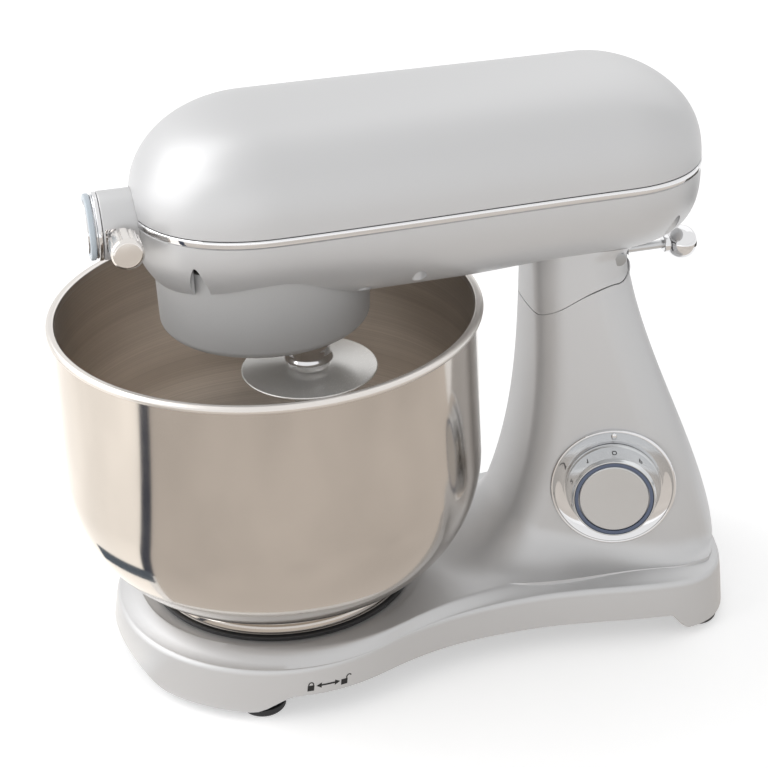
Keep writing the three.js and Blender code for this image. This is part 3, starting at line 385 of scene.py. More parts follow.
def softened(corners: Sequence[Sequence[float]], radius: float = 0.6, count: int = 4) -> Array:
    """A profile with its corners rounded.

    Each inner corner gives way to a quadratic curve that starts and ends at the radius from it,
    or at 0.45 of the shorter side: P(t) = (1-t)² A + 2t(1-t) C + t² B.

    Args:
        corners: (radius, height) or (y, z) points.
        radius: distance from the corner at which rounding starts.
        count: steps of each rounding.
    """
    points = np.asarray(corners, float)
    before, corner, after = points[:-2], points[1:-1], points[2:]
    lengths = [np.linalg.norm(side - corner, axis=1) for side in (before, after)]
    reach = np.minimum(radius, 0.45 * np.minimum(*lengths))[:, None]
    start = corner + (before - corner) / lengths[0][:, None] * reach
    end = corner + (after - corner) / lengths[1][:, None] * reach
    t = np.linspace(0, 1, count + 1)[None, :, None]
    curve = (1 - t) ** 2 * start[:, None] + 2 * t * (1 - t) * corner[:, None] + t * t * end[:, None]
    return np.vstack([points[:1], curve.reshape(-1, 2), points[-1:]])


def revolved(profile: Array, steps: int = 96) -> Array:
    """Grid of a profile of (radius, height) points turned about Z: (r cos a, r sin a, h)."""
    angle = np.linspace(0, 2 * math.pi, steps + 1)
    radius, height = profile[:, 0, None], profile[:, 1, None]
    return np.stack([radius * np.cos(angle), radius * np.sin(angle), height + 0 * angle], axis=-1)


def swept(path: Array, radius: Array, sides: Array, steps: int = 24) -> Array:
    """Grid of a round section carried along a path.

    A section's points are path + r (cos a · n + sin a · b), where n is the given side direction
    made square to the path and b is square to both.

    Args:
        path: points of the centreline.
        radius: radius at each point; 0 at both ends closes it.
        sides: a direction at each point that is never along the path.
        steps: points round the section.
    """
    tangent = np.gradient(path, axis=0)
    tangent /= np.linalg.norm(tangent, axis=1)[:, None]
    normal = sides - np.sum(sides * tangent, axis=1)[:, None] * tangent
    normal /= np.linalg.norm(normal, axis=1)[:, None]
    other = np.cross(tangent, normal)
    angle = np.linspace(0, 2 * math.pi, steps + 1)[None, :, None]
    ring = np.cos(angle) * normal[:, None] + np.sin(angle) * other[:, None]
    return path[:, None] + radius[:, None, None] * ring


def prism(outline: Array, low: float, high: float, edge: float = 0.3) -> Array:
    """Grid of an upright prism over an outline, its edges chamfered and its ends closed."""
    middle = outline.mean(axis=0)
    reach = np.linalg.norm(outline - middle, axis=1).mean()
    shrunk = middle + (outline - middle) * (1 - edge / reach)
    rows = [(middle + 0 * outline, low), (shrunk, low), (outline, low + edge),
            (outline, high - edge), (shrunk, high), (middle + 0 * outline, high)]
    grid = np.stack([np.column_stack([ring, np.full(len(ring), z)]) for ring, z in rows])
    return np.concatenate([grid, grid[:, :1]], axis=1)


def axis_frame(origin: Sequence[float], out: Sequence[float], up: Sequence[float] = (0, 0, 1)) -> Array:
    """Matrix that takes local X, Y, Z to (up x out), up made square, and out, from an origin."""
    z = Vector(out).normalized()
    x = Vector(up).cross(z).normalized()
    y = z.cross(x)
    matrix = Matrix((x, y, z)).transposed().to_4x4()
    matrix.translation = Vector(origin)
    return np.array(matrix)


def moved(grid: Array, frame: Array) -> Array:
    """A grid carried by a matrix."""
    return grid @ frame[:3, :3].T + frame[:3, 3]


def ribbon(path: Sequence[Sequence[float]], width: Array | float) -> Array:
    """Flat band along a path: pairs of points half the width to each side of it."""
    points = np.asarray(path, float)
    tangent = np.gradient(points, axis=0)
    tangent /= np.linalg.norm(tangent, axis=1)[:, None]
    side = np.column_stack([-tangent[:, 1], tangent[:, 0]])
    half = np.broadcast_to(np.asarray(width, float), len(points))[:, None] / 2
    return np.stack([points + side * half, points - side * half], axis=1)


def printed(band: Array, place: Callable[[Array, float], Array], thickness: float = 0.12) -> Array:
    """Grid of a printed band, closed all round.

    Args:
        band: pairs of points of the band.
        place: carries flat points to a height above the surface that they are printed on.
        thickness: height of the ink.
    """
    left, right = band[:, 0], band[:, 1]
    ring = [place(left, 0.02), place(left, thickness), place(right, thickness), place(right, 0.02)]
    grid = np.stack([*ring, ring[0]], axis=1)
    ends = [np.broadcast_to(grid[i].mean(axis=0), grid[i].shape)[None] for i in (0, -1)]
    return np.concatenate([ends[0], grid, ends[1]])


def fluted(grid: Array, low: float, high: float, count: int, depth: float) -> Array:
    """A turned grid with grooves between two heights: each radius r becomes r - d max(0, cos na)⁴."""
    x, y, z = grid[..., 0], grid[..., 1], grid[..., 2]
    groove = np.maximum(0, np.cos(count * np.arctan2(y, x))) ** 4 * depth
    radius = np.hypot(x, y)
    grooved = (z > low) & (z < high) & (radius > 4 * depth)
    share = np.where(grooved, 1 - groove / np.maximum(radius, 1e-6), 1.0)
    return np.stack([x * share, y * share, z], axis=-1)


@dataclass
class Surface:
    """One piece: grids of points that become a single mesh."""

    name: str
    grids: list[Array]
    crease: float = 32.0
    cutters: list[list[Array]] = field(default_factory=list)

    def _mesh(self, name: str, grids: Sequence[Array]) -> bpy.types.Object:
        """Joins grids into one mesh with merged doubles, and faces that point outwards."""
        vertices, faces, start = [], [], 0
        for grid in grids:
            rows, columns = grid.shape[:2]
            index = start + np.arange(rows * columns).reshape(rows, columns)
            quads = [index[:-1, :-1], index[:-1, 1:], index[1:, 1:], index[1:, :-1]]
            faces.append(np.stack(quads, axis=-1).reshape(-1, 4))
            vertices.append(grid.reshape(-1, 3))
            start += rows * columns
        points = (np.vstack(vertices) + [0, Stand.axis_y, 0]) * MM
        mesh = bpy.data.meshes.new(name)
        mesh.from_pydata(points.tolist(), [], np.vstack(faces).tolist())
        work = bmesh.new()
        work.from_mesh(mesh)
        bmesh.ops.remove_doubles(work, verts=work.verts, dist=2e-6)
        bmesh.ops.dissolve_degenerate(work, dist=1e-6, edges=work.edges)
        bmesh.ops.recalc_face_normals(work, faces=work.faces)
        if work.calc_volume(signed=True) < 0:
            bmesh.ops.reverse_faces(work, faces=work.faces)
        work.to_mesh(mesh)
        work.free()
        mesh.validate()
        return placed(name, mesh)

    def build(self, body: str, finish: bpy.types.Material, slot: str,
              nodes: Sequence[str] = ()) -> bpy.types.Object:
        """Args:
            body: CAD body that it moves with.
            finish: its material.
            slot: the record's material slot; not used.
            nodes: CAD nodes that it stands for.

        Returns:
            The finished object, at the origin with its place in its mesh.
        """
        piece = self._mesh(self.name, self.grids)
        if self.cutters:
            self._carve(piece)
        mesh = piece.data
        mesh.polygons.foreach_set("use_smooth", np.ones(len(mesh.polygons), bool))
        mesh.polygons.foreach_set("material_index", np.zeros(len(mesh.polygons), np.int32))
        mesh.set_sharp_from_angle(angle=math.radians(self.crease))
        mesh.materials.clear()
        mesh.materials.append(finish)
        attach(piece, body)
        if nodes:
            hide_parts(*nodes)
        log.info("%s on %s: %d faces", self.name, body, len(mesh.polygons))
        return piece

    def _carve(self, piece: bpy.types.Object) -> None:
        """Cuts the cutters out of the piece, one after another, and keeps the result."""
        tools = [self._mesh(f"{self.name}_cut_{i}", grids) for i, grids in enumerate(self.cutters)]
        for tool in tools:
            modifier = piece.modifiers.new("cut", "BOOLEAN")
            modifier.operation = "DIFFERENCE"
            modifier.solver = "MANIFOLD"
            modifier.object = tool
        bpy.context.view_layer.update()
        evaluated = piece.evaluated_get(bpy.context.evaluated_depsgraph_get())
        mesh = bpy.data.meshes.new_from_object(evaluated)
        piece.modifiers.clear()
        piece.data = mesh
        for tool in tools:
            bpy.data.objects.remove(tool)


def turned(name: str, profile: Array, frame: Array, steps: int = 160, crease: float = 32.0) -> Surface:
    """Piece turned from a profile about the local Z of a frame."""
    return Surface(name, [moved(revolved(profile, steps), frame)], crease)


class Stand:
    """Where the mixer stands in the row frame."""

    axis_y: float = 0.0

    @classmethod
    def read(cls) -> None:
        """Takes the place of the bowl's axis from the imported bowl."""
        low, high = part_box("bowl")
        cls.axis_y = (low.y + high.y) / 2 / MM


def cylinder(radius: float, low: float, high: float, steps: int = 64, frame: Array | None = None) -> Array:
    """Grid of a closed cylinder, used as a cutter."""
    grid = revolved(np.array([[0, low], [radius, low], [radius, high], [0, high]]), steps)
    return grid if frame is None else moved(grid, frame)


def block(x: Sequence[float], y: Sequence[float], z: Sequence[float]) -> Array:
    """Grid of a closed box between two limits on each axis."""
    outline = np.array([[x[0], y[0]], [x[1], y[0]], [x[1], y[1]], [x[0], y[1]]])
    return prism(outline, z[0], z[1], 0.0)


def sector(inner: float, outer: float, middle: float, width: float, low: float, high: float) -> Array:
    """Grid of a flat lug: a piece of a ring between two radii, `width` degrees wide about `middle`."""
    start, end = middle - width / 2, middle + width / 2
    outline = np.vstack([arc(0, 0, outer, start, end, 16), arc(0, 0, inner, end, start, 16)])
    return prism(outline, low, high, 0.3)


# ------------------------------------------------------------------ finishes in use
class Finishes:
    """Every finish of the mixer, made once."""

    def __init__(self) -> None:
        """Makes the materials."""
        silver = (0.64, 0.64, 0.645)
        centre = (0.0, Stand.axis_y * MM, 0.0)
        self.paint = Paint("silver_paint", silver).material()
        self.drum = Paint("drum_paint", (0.54, 0.54, 0.54), 0.5, 0.45, 0.0, 0.35).material()
        self.satin = Metal("satin_silver", (0.62, 0.625, 0.635), 0.32, 0.05).material()
        self.steel = Metal("polished_steel", (0.61, 0.57, 0.53), 0.11, 0.04).material()
        self.bowl_inside = Brushed("brushed_bowl", (0.74, 0.685, 0.63), 0.36, centre).material()
        self.chrome = Metal("chrome", (0.80, 0.80, 0.81), 0.06, 0.02).material()
        self.warm_chrome = Metal("warm_chrome", (0.80, 0.77, 0.74), 0.16, 0.03).material()
        self.plate = Paint("guard_plate", (0.88, 0.865, 0.84), 0.26, 0.5, 0.0, 0.0).material()
        self.knob = Metal("knob_satin", (0.66, 0.675, 0.685), 0.24, 0.03).material()
        self.face = Metal("satin_face", (0.66, 0.67, 0.68), 0.38, 0.03, 0.00001).material()
        self.gear = Metal("gear_steel", (0.42, 0.43, 0.44), 0.35, 0.08).material()
        self.cast = Metal("cast_alloy", (0.40, 0.41, 0.42), 0.55, 0.08, 0.0001).material()
        self.copper = Metal("copper_winding", (0.60, 0.26, 0.12), 0.4, 0.06).material()
        self.rubber = Moulded("black_rubber", (0.012, 0.012, 0.013), 0.55).material()
        self.plastic = Moulded("black_plastic", (0.018, 0.018, 0.019), 0.4).material()
        self.ring = Moulded("hub_ring", (0.50, 0.56, 0.61), 0.3, 0.00001).material()
        self.lip = Metal("satin_lip", (0.78, 0.745, 0.71), 0.3, 0.04).material()
        self.board = Moulded("circuit_board", (0.03, 0.14, 0.05), 0.5).material()
        self.guide = Moulded("light_guide", (0.10, 0.125, 0.19), 0.3, 0.00001).material()
        self.ink = Moulded("printed_marks", (0.006, 0.006, 0.007), 0.5, 0.00001).material()


# ------------------------------------------------------------------ head
@dataclass
class Head:
    """The long rounded head: a domed cover, a chrome band and a boat-shaped housing."""

    half_width: float = 66.2
    rear_half_width: float = 62.0
    front_centre: float = 1.6
    front_length: float = 72.0
    rear_centre: float = 194.0
    rear_length: float = 60.0
    end_roundness: float = 2.2
    crown_tip: float = 2.25
    hull_tip: float = 3.0
    band_height: float = 281.9
    band_width: float = 3.9
    crown_rise: float = 51.0
    crown_roundness: float = 3.0
    hull_depth: float = 50.5
    hull_rear_rise: float = 2.5
    hull_roundness: float = 2.5
    drum_hole: float = 62.1
    screw_spots: tuple[tuple[float, float], ...] = ((47.8, -42), (47.5, 47), (53.8, 76.5), (47.4, 225))
    screw_well: float = 4.0
    front_well_extra: float = 1.4
    screw_seat: float = 266.7
    screw_top: float = 282.0
    screw_head: float = 3.2
    screw_shank: float = 1.5
    rim_inset: float = 2.6
    rim_step: float = 0.35
    hull_rise_start: float = 105.0
    hull_rise_length: float = 60.0
    hub_opening: float = 19.2
    neck_room: tuple[tuple[float, float], ...] = ((-25.8, 25.8), (170, 211), (215, 242))

    def outline(self, share: Array, end_share: Array, margin: Array | float = 0.0) -> Array:
        """Rows of the plan outline of the head.

        The front and rear ends are quarters of a superellipse, (cos a, sin a) raised to 2/n; the
        sides between them ease from the front width to the rear width.

        Args:
            share: share of the width, for each row.
            end_share: share of the length of the ends, for each row.
            margin: distance let out all round.

        Returns:
            Rows of x, y points, from the front middle round the +X side and back.
        """
        share, end_share = np.broadcast_arrays(np.atleast_1d(share), np.atleast_1d(end_share))
        margin = np.broadcast_to(margin, share.shape)[:, None]
        wide = self.half_width * share[:, None] + margin
        narrow = self.rear_half_width * share[:, None] + margin
        power = 2 / self.end_roundness
        a = np.radians(np.linspace(0, 90, 41))[None]
        low, high = np.sin(a) ** power, np.cos(a) ** power
        t = np.linspace(0, 1, 42)[None, 1:-1]
        front = self.front_length * end_share[:, None] + margin
        rear = self.rear_length * end_share[:, None] + margin
        x = np.hstack([wide * low, wide + (narrow - wide) * smooth(t), narrow * high])
        y = np.hstack([self.front_centre - front * high,
                       self.front_centre + (self.rear_centre - self.front_centre) * t + 0 * wide,
                       self.rear_centre + rear * low])
        half = np.stack([x, y], axis=-1)
        other = half[:, ::-1] * [-1, 1]
        return np.concatenate([half, other], axis=1)

    def dome(self, roundness: float, tip: float, base: float, rise: float, count: int = 56) -> Array:
        """Grid of a rounded shell from its rim to its ridge, closed flat at the rim.

        The width share and the height share of a row satisfy s^n + h^n = 1, and its end share e
        satisfies h^m + e^m = 1.
        """
        b = np.radians(np.linspace(0, 90, count))
        share, height = np.cos(b) ** (2 / roundness), np.sin(b) ** (2 / roundness)
        rows = self.outline(share, (1 - height ** tip) ** (1 / tip))
        back = smooth((rows[..., 1:] - self.hull_rise_start) / self.hull_rise_length)
        less = self.hull_rear_rise * back if rise < 0 else 0.0
        z = base + (rise + less) * height[:, None, None] + 0 * rows[..., :1]
        shell = np.concatenate([rows, z], axis=-1)
        inset = self.outline(np.ones(2), np.ones(2), np.array([-self.rim_inset, -self.rim_step]))
        rim = np.concatenate([inset, np.full((*inset.shape[:2], 1), base)], axis=-1)
        shell[0, :, 2] += math.copysign(self.rim_step, rise)
        middle = rim[:1].copy()
        middle[..., 0] = 0.0
        middle[..., 1] = np.clip(middle[..., 1], self.front_centre, self.rear_centre)
        return np.concatenate([middle, rim, shell], axis=0)

    def cover(self) -> Surface:
        """Upper dome above the chrome band."""
        base = self.band_height + FIT_GAP
        grid = self.dome(self.crown_roundness, self.crown_tip, base, self.crown_rise)
        return Surface("mixer_cover", [grid], cutters=[[self.hub_hole()]])

    def housing(self) -> Surface:
        """Underside below the chrome band, with the hole for the drum and the screw wells."""
        base = self.band_height - self.band_width - FIT_GAP
        grid = self.dome(self.hull_roundness, self.hull_tip, base, -self.hull_depth)
        cutters = [[cylinder(self.drum_hole, 200, 262, 96)]]
        wells = [cylinder(self.screw_well + self.front_well_extra * (y < 0), 200, 267, 32) + [x, y, 0]
                 for x, y in self.spots()]
        cutters += [wells, [self.hub_hole()], [block(*self.neck_room)]]
        return Surface("mixer_housing", [grid], cutters=cutters)

    def spots(self) -> list[tuple[float, float]]:
        """Places of the screws on both sides."""
        return [(x * side, y) for x, y in self.screw_spots for side in (1, -1)]

    def hub_hole(self) -> Array:
        """Cutter for the accessory hub."""
        return cylinder(self.hub_opening, 42, 108, 72, Hub().frame())

    def screw(self, x: float, y: float) -> Array:
        """Grid of a pan-head screw that holds the two halves of the head together."""
        seat, top, head, shank = self.screw_seat, self.screw_top, self.screw_head, self.screw_shank
        profile = softened([(0, seat - 2.6), (head, seat - 2.4), (head, seat), (shank, seat),
                            (shank, top), (0, top)], 0.6)
        return revolved(profile, 24) + [x, y, 0]

    def band(self) -> Surface:
        """Chrome strip round the widest line, its face gently rounded."""
        top, bottom = self.band_height, self.band_height - self.band_width
        t = np.linspace(-1, 1, 9)
        height = (top + bottom) / 2 + t * (top - bottom) / 2
        bulge = 0.15 + 0.5 * np.sqrt(np.maximum(0, 1 - t ** 4))
        height = np.concatenate([[bottom], height, [top, bottom]])
        margin = np.concatenate([[-self.rim_inset], bulge, [-self.rim_inset] * 2])
        rows = self.outline(np.ones(len(height)), np.ones(len(height)), margin)
        z = np.broadcast_to(height[:, None, None], (*rows.shape[:2], 1))
        return Surface("mixer_band", [np.concatenate([rows, z], axis=-1)], cutters=[[self.hub_hole()]])

    def dress(self, finishes: Finishes) -> None:
        """Builds the shells of the head."""
        self.cover().build("head", finishes.paint, "silver_paint", ["head_cover"])
        self.housing().build("head", finishes.paint, "silver_paint", ["head_housing"])
        self.band().build("head", finishes.chrome, "chrome", ["trim_band"])
        for number, (x, y) in enumerate(self.spots(), 1):
            Surface(f"mixer_housing_screw_{number}", [self.screw(x, y)]).build(
                "head", finishes.gear, "gear_steel", [f"housing_screw_{number}"])


# ------------------------------------------------------------------ base and column
@dataclass
class Column:
    """Cross-sections of the column and of the neck above it."""

    top: float = 204.0
    front: float = 156.5
    front_foot: float = 30.0
    rear_top: float = 209.8
    rear_foot: float = 54.0
    front_corner: float = 20.0
    rear_corner: float = 21.0
    side_slope: float = math.tan(math.radians(18.0))
    lean_slope: float = math.tan(math.radians(5.6))
    dial: tuple[float, float, float] = (50.5, 192.3, 89.0)
    foot_height: float = 40.4
    hinge: tuple[float, float] = (200.0, 227.0)
    knuckle: float = 14.0
    corner_steps: int = 14
    side_steps: int = 22
    front_swell: float = 2.4
    foot_swell: float = 2.6
    rear_swell: float = 1.5
    seam_start: float = 156.0
    seam_length: float = 41.0
    seam_height: float = 192.6
    seam_rise: float = 20.2

    def share(self, z: Array) -> Array:
        """Share of the way down from the top of the column to the base."""
        return np.maximum(0, (self.top - z) / (self.top - self.foot_height + 0.4))

    def front_at(self, z: Array) -> Array:
        """Place of the front, which runs forward toward the base as the share to the power 3.4."""
        return self.front - self.front_foot * self.share(z) ** 3.4

    def rear_at(self, z: Array) -> Array:
        """Place of the rear, which runs back toward the base and opens under the head."""
        s = np.clip((216 - z) / 180, 0, 1)
        flare = 0.5 * np.maximum(0, z - 228) + 0.9 * np.clip(z - 230, 0, 7)
        return self.rear_top + self.rear_foot * (s + smooth(s)) / 2 + flare

    def side_at(self, y: Array, z: Array) -> Array:
        """Half width at a place and height: a plane that opens to the rear and leans in."""
        x, y0, z0 = self.dial
        return x + self.side_slope * (y - y0) - self.lean_slope * (np.maximum(z, 30) - z0)

    def rows(self, z: Array) -> Array:
        """Rows of the cross-section at each height.

        A four-sided outline with rounded corners; the front face swells forward by a parabola
        across its width, and the rear face a little.

        Args:
            z: heights.

        Returns:
            Grid of x, y, z points, counter-clockwise from the middle of the front.
        """
        front, rear = self.front_at(z), self.rear_at(z)
        wide_front, wide_rear = self.side_at(front, z), self.side_at(rear, z)
        rear_radius = self.rear_corner + 16 * self.share(z) ** 2
        front_radius = np.full_like(z, self.front_corner)
        corners = np.stack([np.stack([wide_front, front], -1), np.stack([wide_rear, rear], -1)])
        corners = np.concatenate([corners, (corners * [-1, 1])[::-1]])
        radii = np.stack([front_radius, rear_radius, rear_radius, front_radius])
        before, after = np.roll(corners, 1, axis=0), np.roll(corners, -1, axis=0)
        to_before = before - corners
        to_before /= np.linalg.norm(to_before, axis=-1, keepdims=True)
        to_after = after - corners
        to_after /= np.linalg.norm(to_after, axis=-1, keepdims=True)
        half = np.arccos(np.clip(np.sum(to_before * to_after, -1), -1, 1)) / 2
        middle = to_before + to_after
        middle /= np.linalg.norm(middle, axis=-1, keepdims=True)
        centre = corners + middle * (radii / np.sin(half))[..., None]
        start = corners + to_before * (radii / np.tan(half))[..., None] - centre
        angle = np.arctan2(start[..., 1], start[..., 0])
        sweep = math.pi - 2 * half
        t = np.linspace(0, 1, self.corner_steps + 1)
        turn = angle[..., None] + sweep[..., None] * t
        arcs = centre[..., None, :] + radii[..., None, None] * np.stack([np.cos(turn), np.sin(turn)], -1)
        u = np.linspace(0, 1, self.side_steps + 1)[1:-1][None, None, :, None]
        ends, starts = arcs[:, :, -1:], np.roll(arcs, -1, axis=0)[:, :, :1]
        sides = ends + (starts - ends) * u
        ring = np.concatenate([part for i in range(4) for part in (arcs[i], sides[i])], axis=1)
        share = (ring[..., 1] - front[:, None]) / (rear - front)[:, None]
        width = self.side_at(ring[..., 1], z[:, None])
        across = 1 - (ring[..., 0] / width) ** 2
        bulge = (self.front_swell + self.foot_swell * smooth((190 - z) / 120))[:, None]
        rearward = self.rear_swell * np.maximum(0, 2 * share - 1)
        ring[..., 1] += across * (rearward - bulge * np.maximum(0, 1 - 4 * share))
        ring = np.concatenate([ring, ring[:, :1]], axis=1)
        return np.concatenate([ring, np.broadcast_to(z[:, None, None], (*ring.shape[:2], 1))], axis=-1)

    def seam(self, y: Array) -> Array:
        """Height of the joint under the neck: a rising wave, then a cradle round the hinge.

        The wave is 0.4 of the smooth step plus 0.6 of 1 - (1 - t)²; the cradle is a circle about
        the hinge, and the rear of it is level.
        """
        t = np.clip((y - self.seam_start) / self.seam_length, 0, 1)
        wave = self.seam_height + self.seam_rise * (0.4 * smooth(t) + 0.6 * (1 - (1 - t) ** 2))
        y0, z0 = self.hinge
        radius = self.knuckle + RUN_GAP
        end = y0 + radius * math.cos(math.radians(338))
        circle = z0 - np.sqrt(np.maximum(0, radius ** 2 - (np.clip(y, y0 - 3, end) - y0) ** 2))
        return np.where(y < y0 - 2, wave, circle)


def polygon_radius(outline: Array, centre: Array, angle: Array) -> Array:
    """Distance from a centre to a closed star-shaped outline in each direction.

    Args:
        outline: x, y points.
        centre: x, y inside it.
        angle: directions in radians.
    """
    away = outline - centre
    theta = np.arctan2(away[:, 1], away[:, 0])
    order = np.argsort(theta)
    return np.interp(angle, theta[order], np.linalg.norm(away, axis=1)[order], period=2 * math.pi)


def between(table: Array, levels: Array, z: Array) -> Array:
    """Reads rows given at even levels, at a level for each place in the row.

    Args:
        table: a row of values or points for each level.
        levels: the levels, evenly spaced.
        z: one level for each place in a row.
    """
    place = np.clip((z - levels[0]) / (levels[1] - levels[0]), 0, len(levels) - 1.001)
    low = place.astype(int)
    index = np.arange(table.shape[1])
    share = (place - low).reshape(-1, *[1] * (table.ndim - 2))
    return table[low, index] * (1 - share) + table[low + 1, index] * share


@dataclass
class Base:
    """The pear-shaped base that sweeps up into the column."""

    column: Column = field(default_factory=Column)
    front_radius: float = 100.3
    waist: float = 74.5
    rear_half_width: float = 86.0
    rear: float = 263.0
    top: float = 40.4
    skirt_flare: float = 2.4
    front_edge: float = 32.5
    rear_edge: float = 37.0
    arch: float = 13.5
    foot_clear: float = 5.2
    edge_roll: float = 4.2
    ceiling: float = 20.0
    centre_y: float = 178.0
    wall: float = 3.5
    seat_radius: float = 86.0
    seat_depth: float = 2.2
    fillet_height: tuple[float, float] = (12.0, 16.0)
    fillet_width: tuple[float, float] = (9.0, 27.0)
    lever_slot: tuple[tuple[float, float], ...] = ((-5, 5), (171, 229), (186, 246))
    lug_radius: float = 7.4
    lug_span: tuple[float, float] = (17, 25)
    sign_height: float = 21.3
    sign_bearing: float = 3.4
    gland_place: tuple[float, float] = (-25, 26.5)
    feet: tuple[tuple[str, float, float], ...] = (
        ("front_left", 81, -30), ("front_right", -81, -30), ("rear_left", 68, 240), ("rear_right", -68, 240))

    def outline(self) -> Array:
        """Plan outline: a round front, then three cubic curves by the waist to the rear."""
        lead = math.radians(24)
        round_front = arc(0, 0, self.front_radius, -90, 24, 60)
        x, y = self.front_radius * math.cos(lead), self.front_radius * math.sin(lead)
        wide = self.rear_half_width
        curves = [((x, y), (x - 0.407 * 38, y + 0.914 * 38), (self.waist - 0.6, 100), (self.waist, 134)),
                  ((self.waist, 134), (self.waist + 0.8, 165), (wide - 2, 190), (wide, 222)),
                  ((wide, 222), (wide + 1.5, 247), (68, self.rear - 1), (30, self.rear))]
        t = np.linspace(0, 1, 50)[1:, None]
        parts = [round_front]
        for a, b, c, d in (map(np.array, curve) for curve in curves):
            parts.append((1 - t) ** 3 * a + 3 * t * (1 - t) ** 2 * b + 3 * t * t * (1 - t) * c + t ** 3 * d)
        parts.append(np.column_stack([np.linspace(30, 0, 12)[1:], np.full(11, self.rear)]))
        half = np.vstack(parts)
        return np.vstack([half, half[-2:0:-1] * [-1, 1]])

    def edge_height(self, y: Array) -> Array:
        """Height of the rounded edge, which rises toward the rear."""
        return self.front_edge + (self.rear_edge - self.front_edge) * smooth((y + 20) / 220)

    def skirt_bottom(self, y: Array) -> Array:
        """Lower edge of the skirt, arched between the feet."""
        sides = smooth((y + 38) / 26) - smooth((y - 216) / 12)
        return self.foot_clear + self.arch * (0.78 * sides + smooth((-y - 80) / 26))

    def skirt_out(self, t: Array | float) -> Array | float:
        """How far the skirt stands out from the edge, from its top at 0 to its bottom at 1."""
        return 0.2 + (self.skirt_flare - 0.2) * t ** 0.8

    def grid(self, count: int = 420) -> Array:
        """Grid of the whole casting, from the middle of the column's top to its hollow underside.

        Each direction about the column has one profile: the top of the column, its wall, a
        fillet (z = h(1 - sin a), r = f(1 - cos a)), the top of the base, its rolled edge, the
        skirt and the inside of the skirt.
        """
        centre = np.array([0.0, self.centre_y])
        angle = np.linspace(-math.pi / 2, 1.5 * math.pi, count + 1)
        way = np.column_stack([np.cos(angle), np.sin(angle)])
        outline = self.outline()
        edge = polygon_radius(outline, centre, angle)
        ahead = 0.5 + 0.5 * np.cos(angle + math.pi / 2)  # 1 at the front, 0 at the rear

        levels = np.linspace(38, 226, 95)
        table = np.stack([polygon_radius(ring[:-1, :2], centre, angle) for ring in self.column.rows(levels)])

        def wall_radius(z: Array) -> Array:
            """Radius of the column in each direction at a height for each direction."""
            return between(table, levels, z)

        height = self.fillet_height[0] + self.fillet_height[1] * ahead ** 1.5
        foot = wall_radius(np.full(count + 1, self.top))
        room = np.maximum(edge - 4.0 - foot, 0.0)
        fillet = np.minimum(self.fillet_width[0] + self.fillet_width[1] * ahead ** 1.6, 0.85 * room)
        height = np.minimum(height, 3 + 1.4 * fillet)
        rows: list[tuple[Array, Array]] = []
        probe = wall_radius(np.full(count + 1, 208.0))
        seam = self.column.seam(centre[1] + way[:, 1] * probe)
        for share in np.linspace(0, 0.98, 12):
            y = centre[1] + way[:, 1] * probe * share
            rows.append((probe * share, self.column.seam(y)))
        start, limit = self.top + height, edge - 1.5
        for t in np.linspace(0, 1, 46):
            z = seam + (start - seam) * t
            rows.append((np.minimum(wall_radius(z), limit), z))
        for a in np.radians(np.linspace(0, 90, 19))[1:]:
            z = self.top + height * (1 - math.sin(a))
            radius = np.minimum(wall_radius(z) + fillet * (1 - math.cos(a)), limit)
            rows.append((radius, z))
        reached = rows[-1][0]
        crest = np.maximum(reached, edge - 3.2)

        def top_height(radius: Array) -> Array:
            """Height of the base's top, which falls toward its rounded edge."""
            y = centre[1] + way[:, 1] * radius
            inset = edge - radius
            rim = self.edge_height(y)
            return rim + (self.top - rim) * smooth((inset - 1.0) / 19) ** 0.8

        for t in np.linspace(0, 1, 34)[1:]:
            radius = reached + (crest - reached) * t
            rows.append((radius, np.minimum(rows[-1][1], top_height(radius))))
        y_edge = centre[1] + way[:, 1] * edge
        rim, bottom = rows[-1][1], self.skirt_bottom(y_edge)
        for a in np.radians(np.linspace(0, 90, 9))[1:]:
            radius = crest + (edge + 0.2 - crest) * math.sin(a)
            rows.append((radius, rim - self.edge_roll * (1 - math.cos(a))))
        skirt_top = rim - self.edge_roll
        for t in np.linspace(0, 1, 10)[1:]:
            rows.append((edge + self.skirt_out(t), skirt_top + (bottom + 0.5 - skirt_top) * t))
        outside, inside = edge + self.skirt_flare, edge + self.skirt_flare - self.wall
        rows += [(outside - 0.5, bottom), (inside + 0.4, bottom), (inside - 0.2, bottom + 0.6)]
        inward = (edge - self.wall, edge * 0.5, edge * 0.0)
        rows += [(radius, np.full(count + 1, self.ceiling)) for radius in inward]
        radius = np.stack([r for r, _ in rows])
        z = np.stack([h for _, h in rows])
        x = radius * way[:, 0]
        y = centre[1] + radius * way[:, 1]
        grid = np.stack([x, y, z], axis=-1)
        grid[:, -1] = grid[:, 0]
        return grid

    def casting(self) -> Surface:
        """The casting with the bowl's seat and the lever's slot cut in it."""
        seat = cylinder(self.seat_radius, self.top - self.seat_depth, 60, 160)
        slot = block(*self.lever_slot)
        return Surface("mixer_base", [self.grid()], crease=28, cutters=[[seat], [slot]])

    def hinge_lugs(self) -> Surface:
        """Pair of lugs on top of the column, rounded about the hinge pin."""
        y, z = self.column.hinge
        outline = np.vstack([arc(y, z, self.lug_radius, -72, 200, 40), [(y - 10, 198), (y, 198)]])
        lug = moved(prism(outline, *self.lug_span, 0.5), axis_frame((0, 0, 0), (1, 0, 0)))
        return Surface("mixer_hinge_lugs", [lug, lug * [-1, 1, 1]])

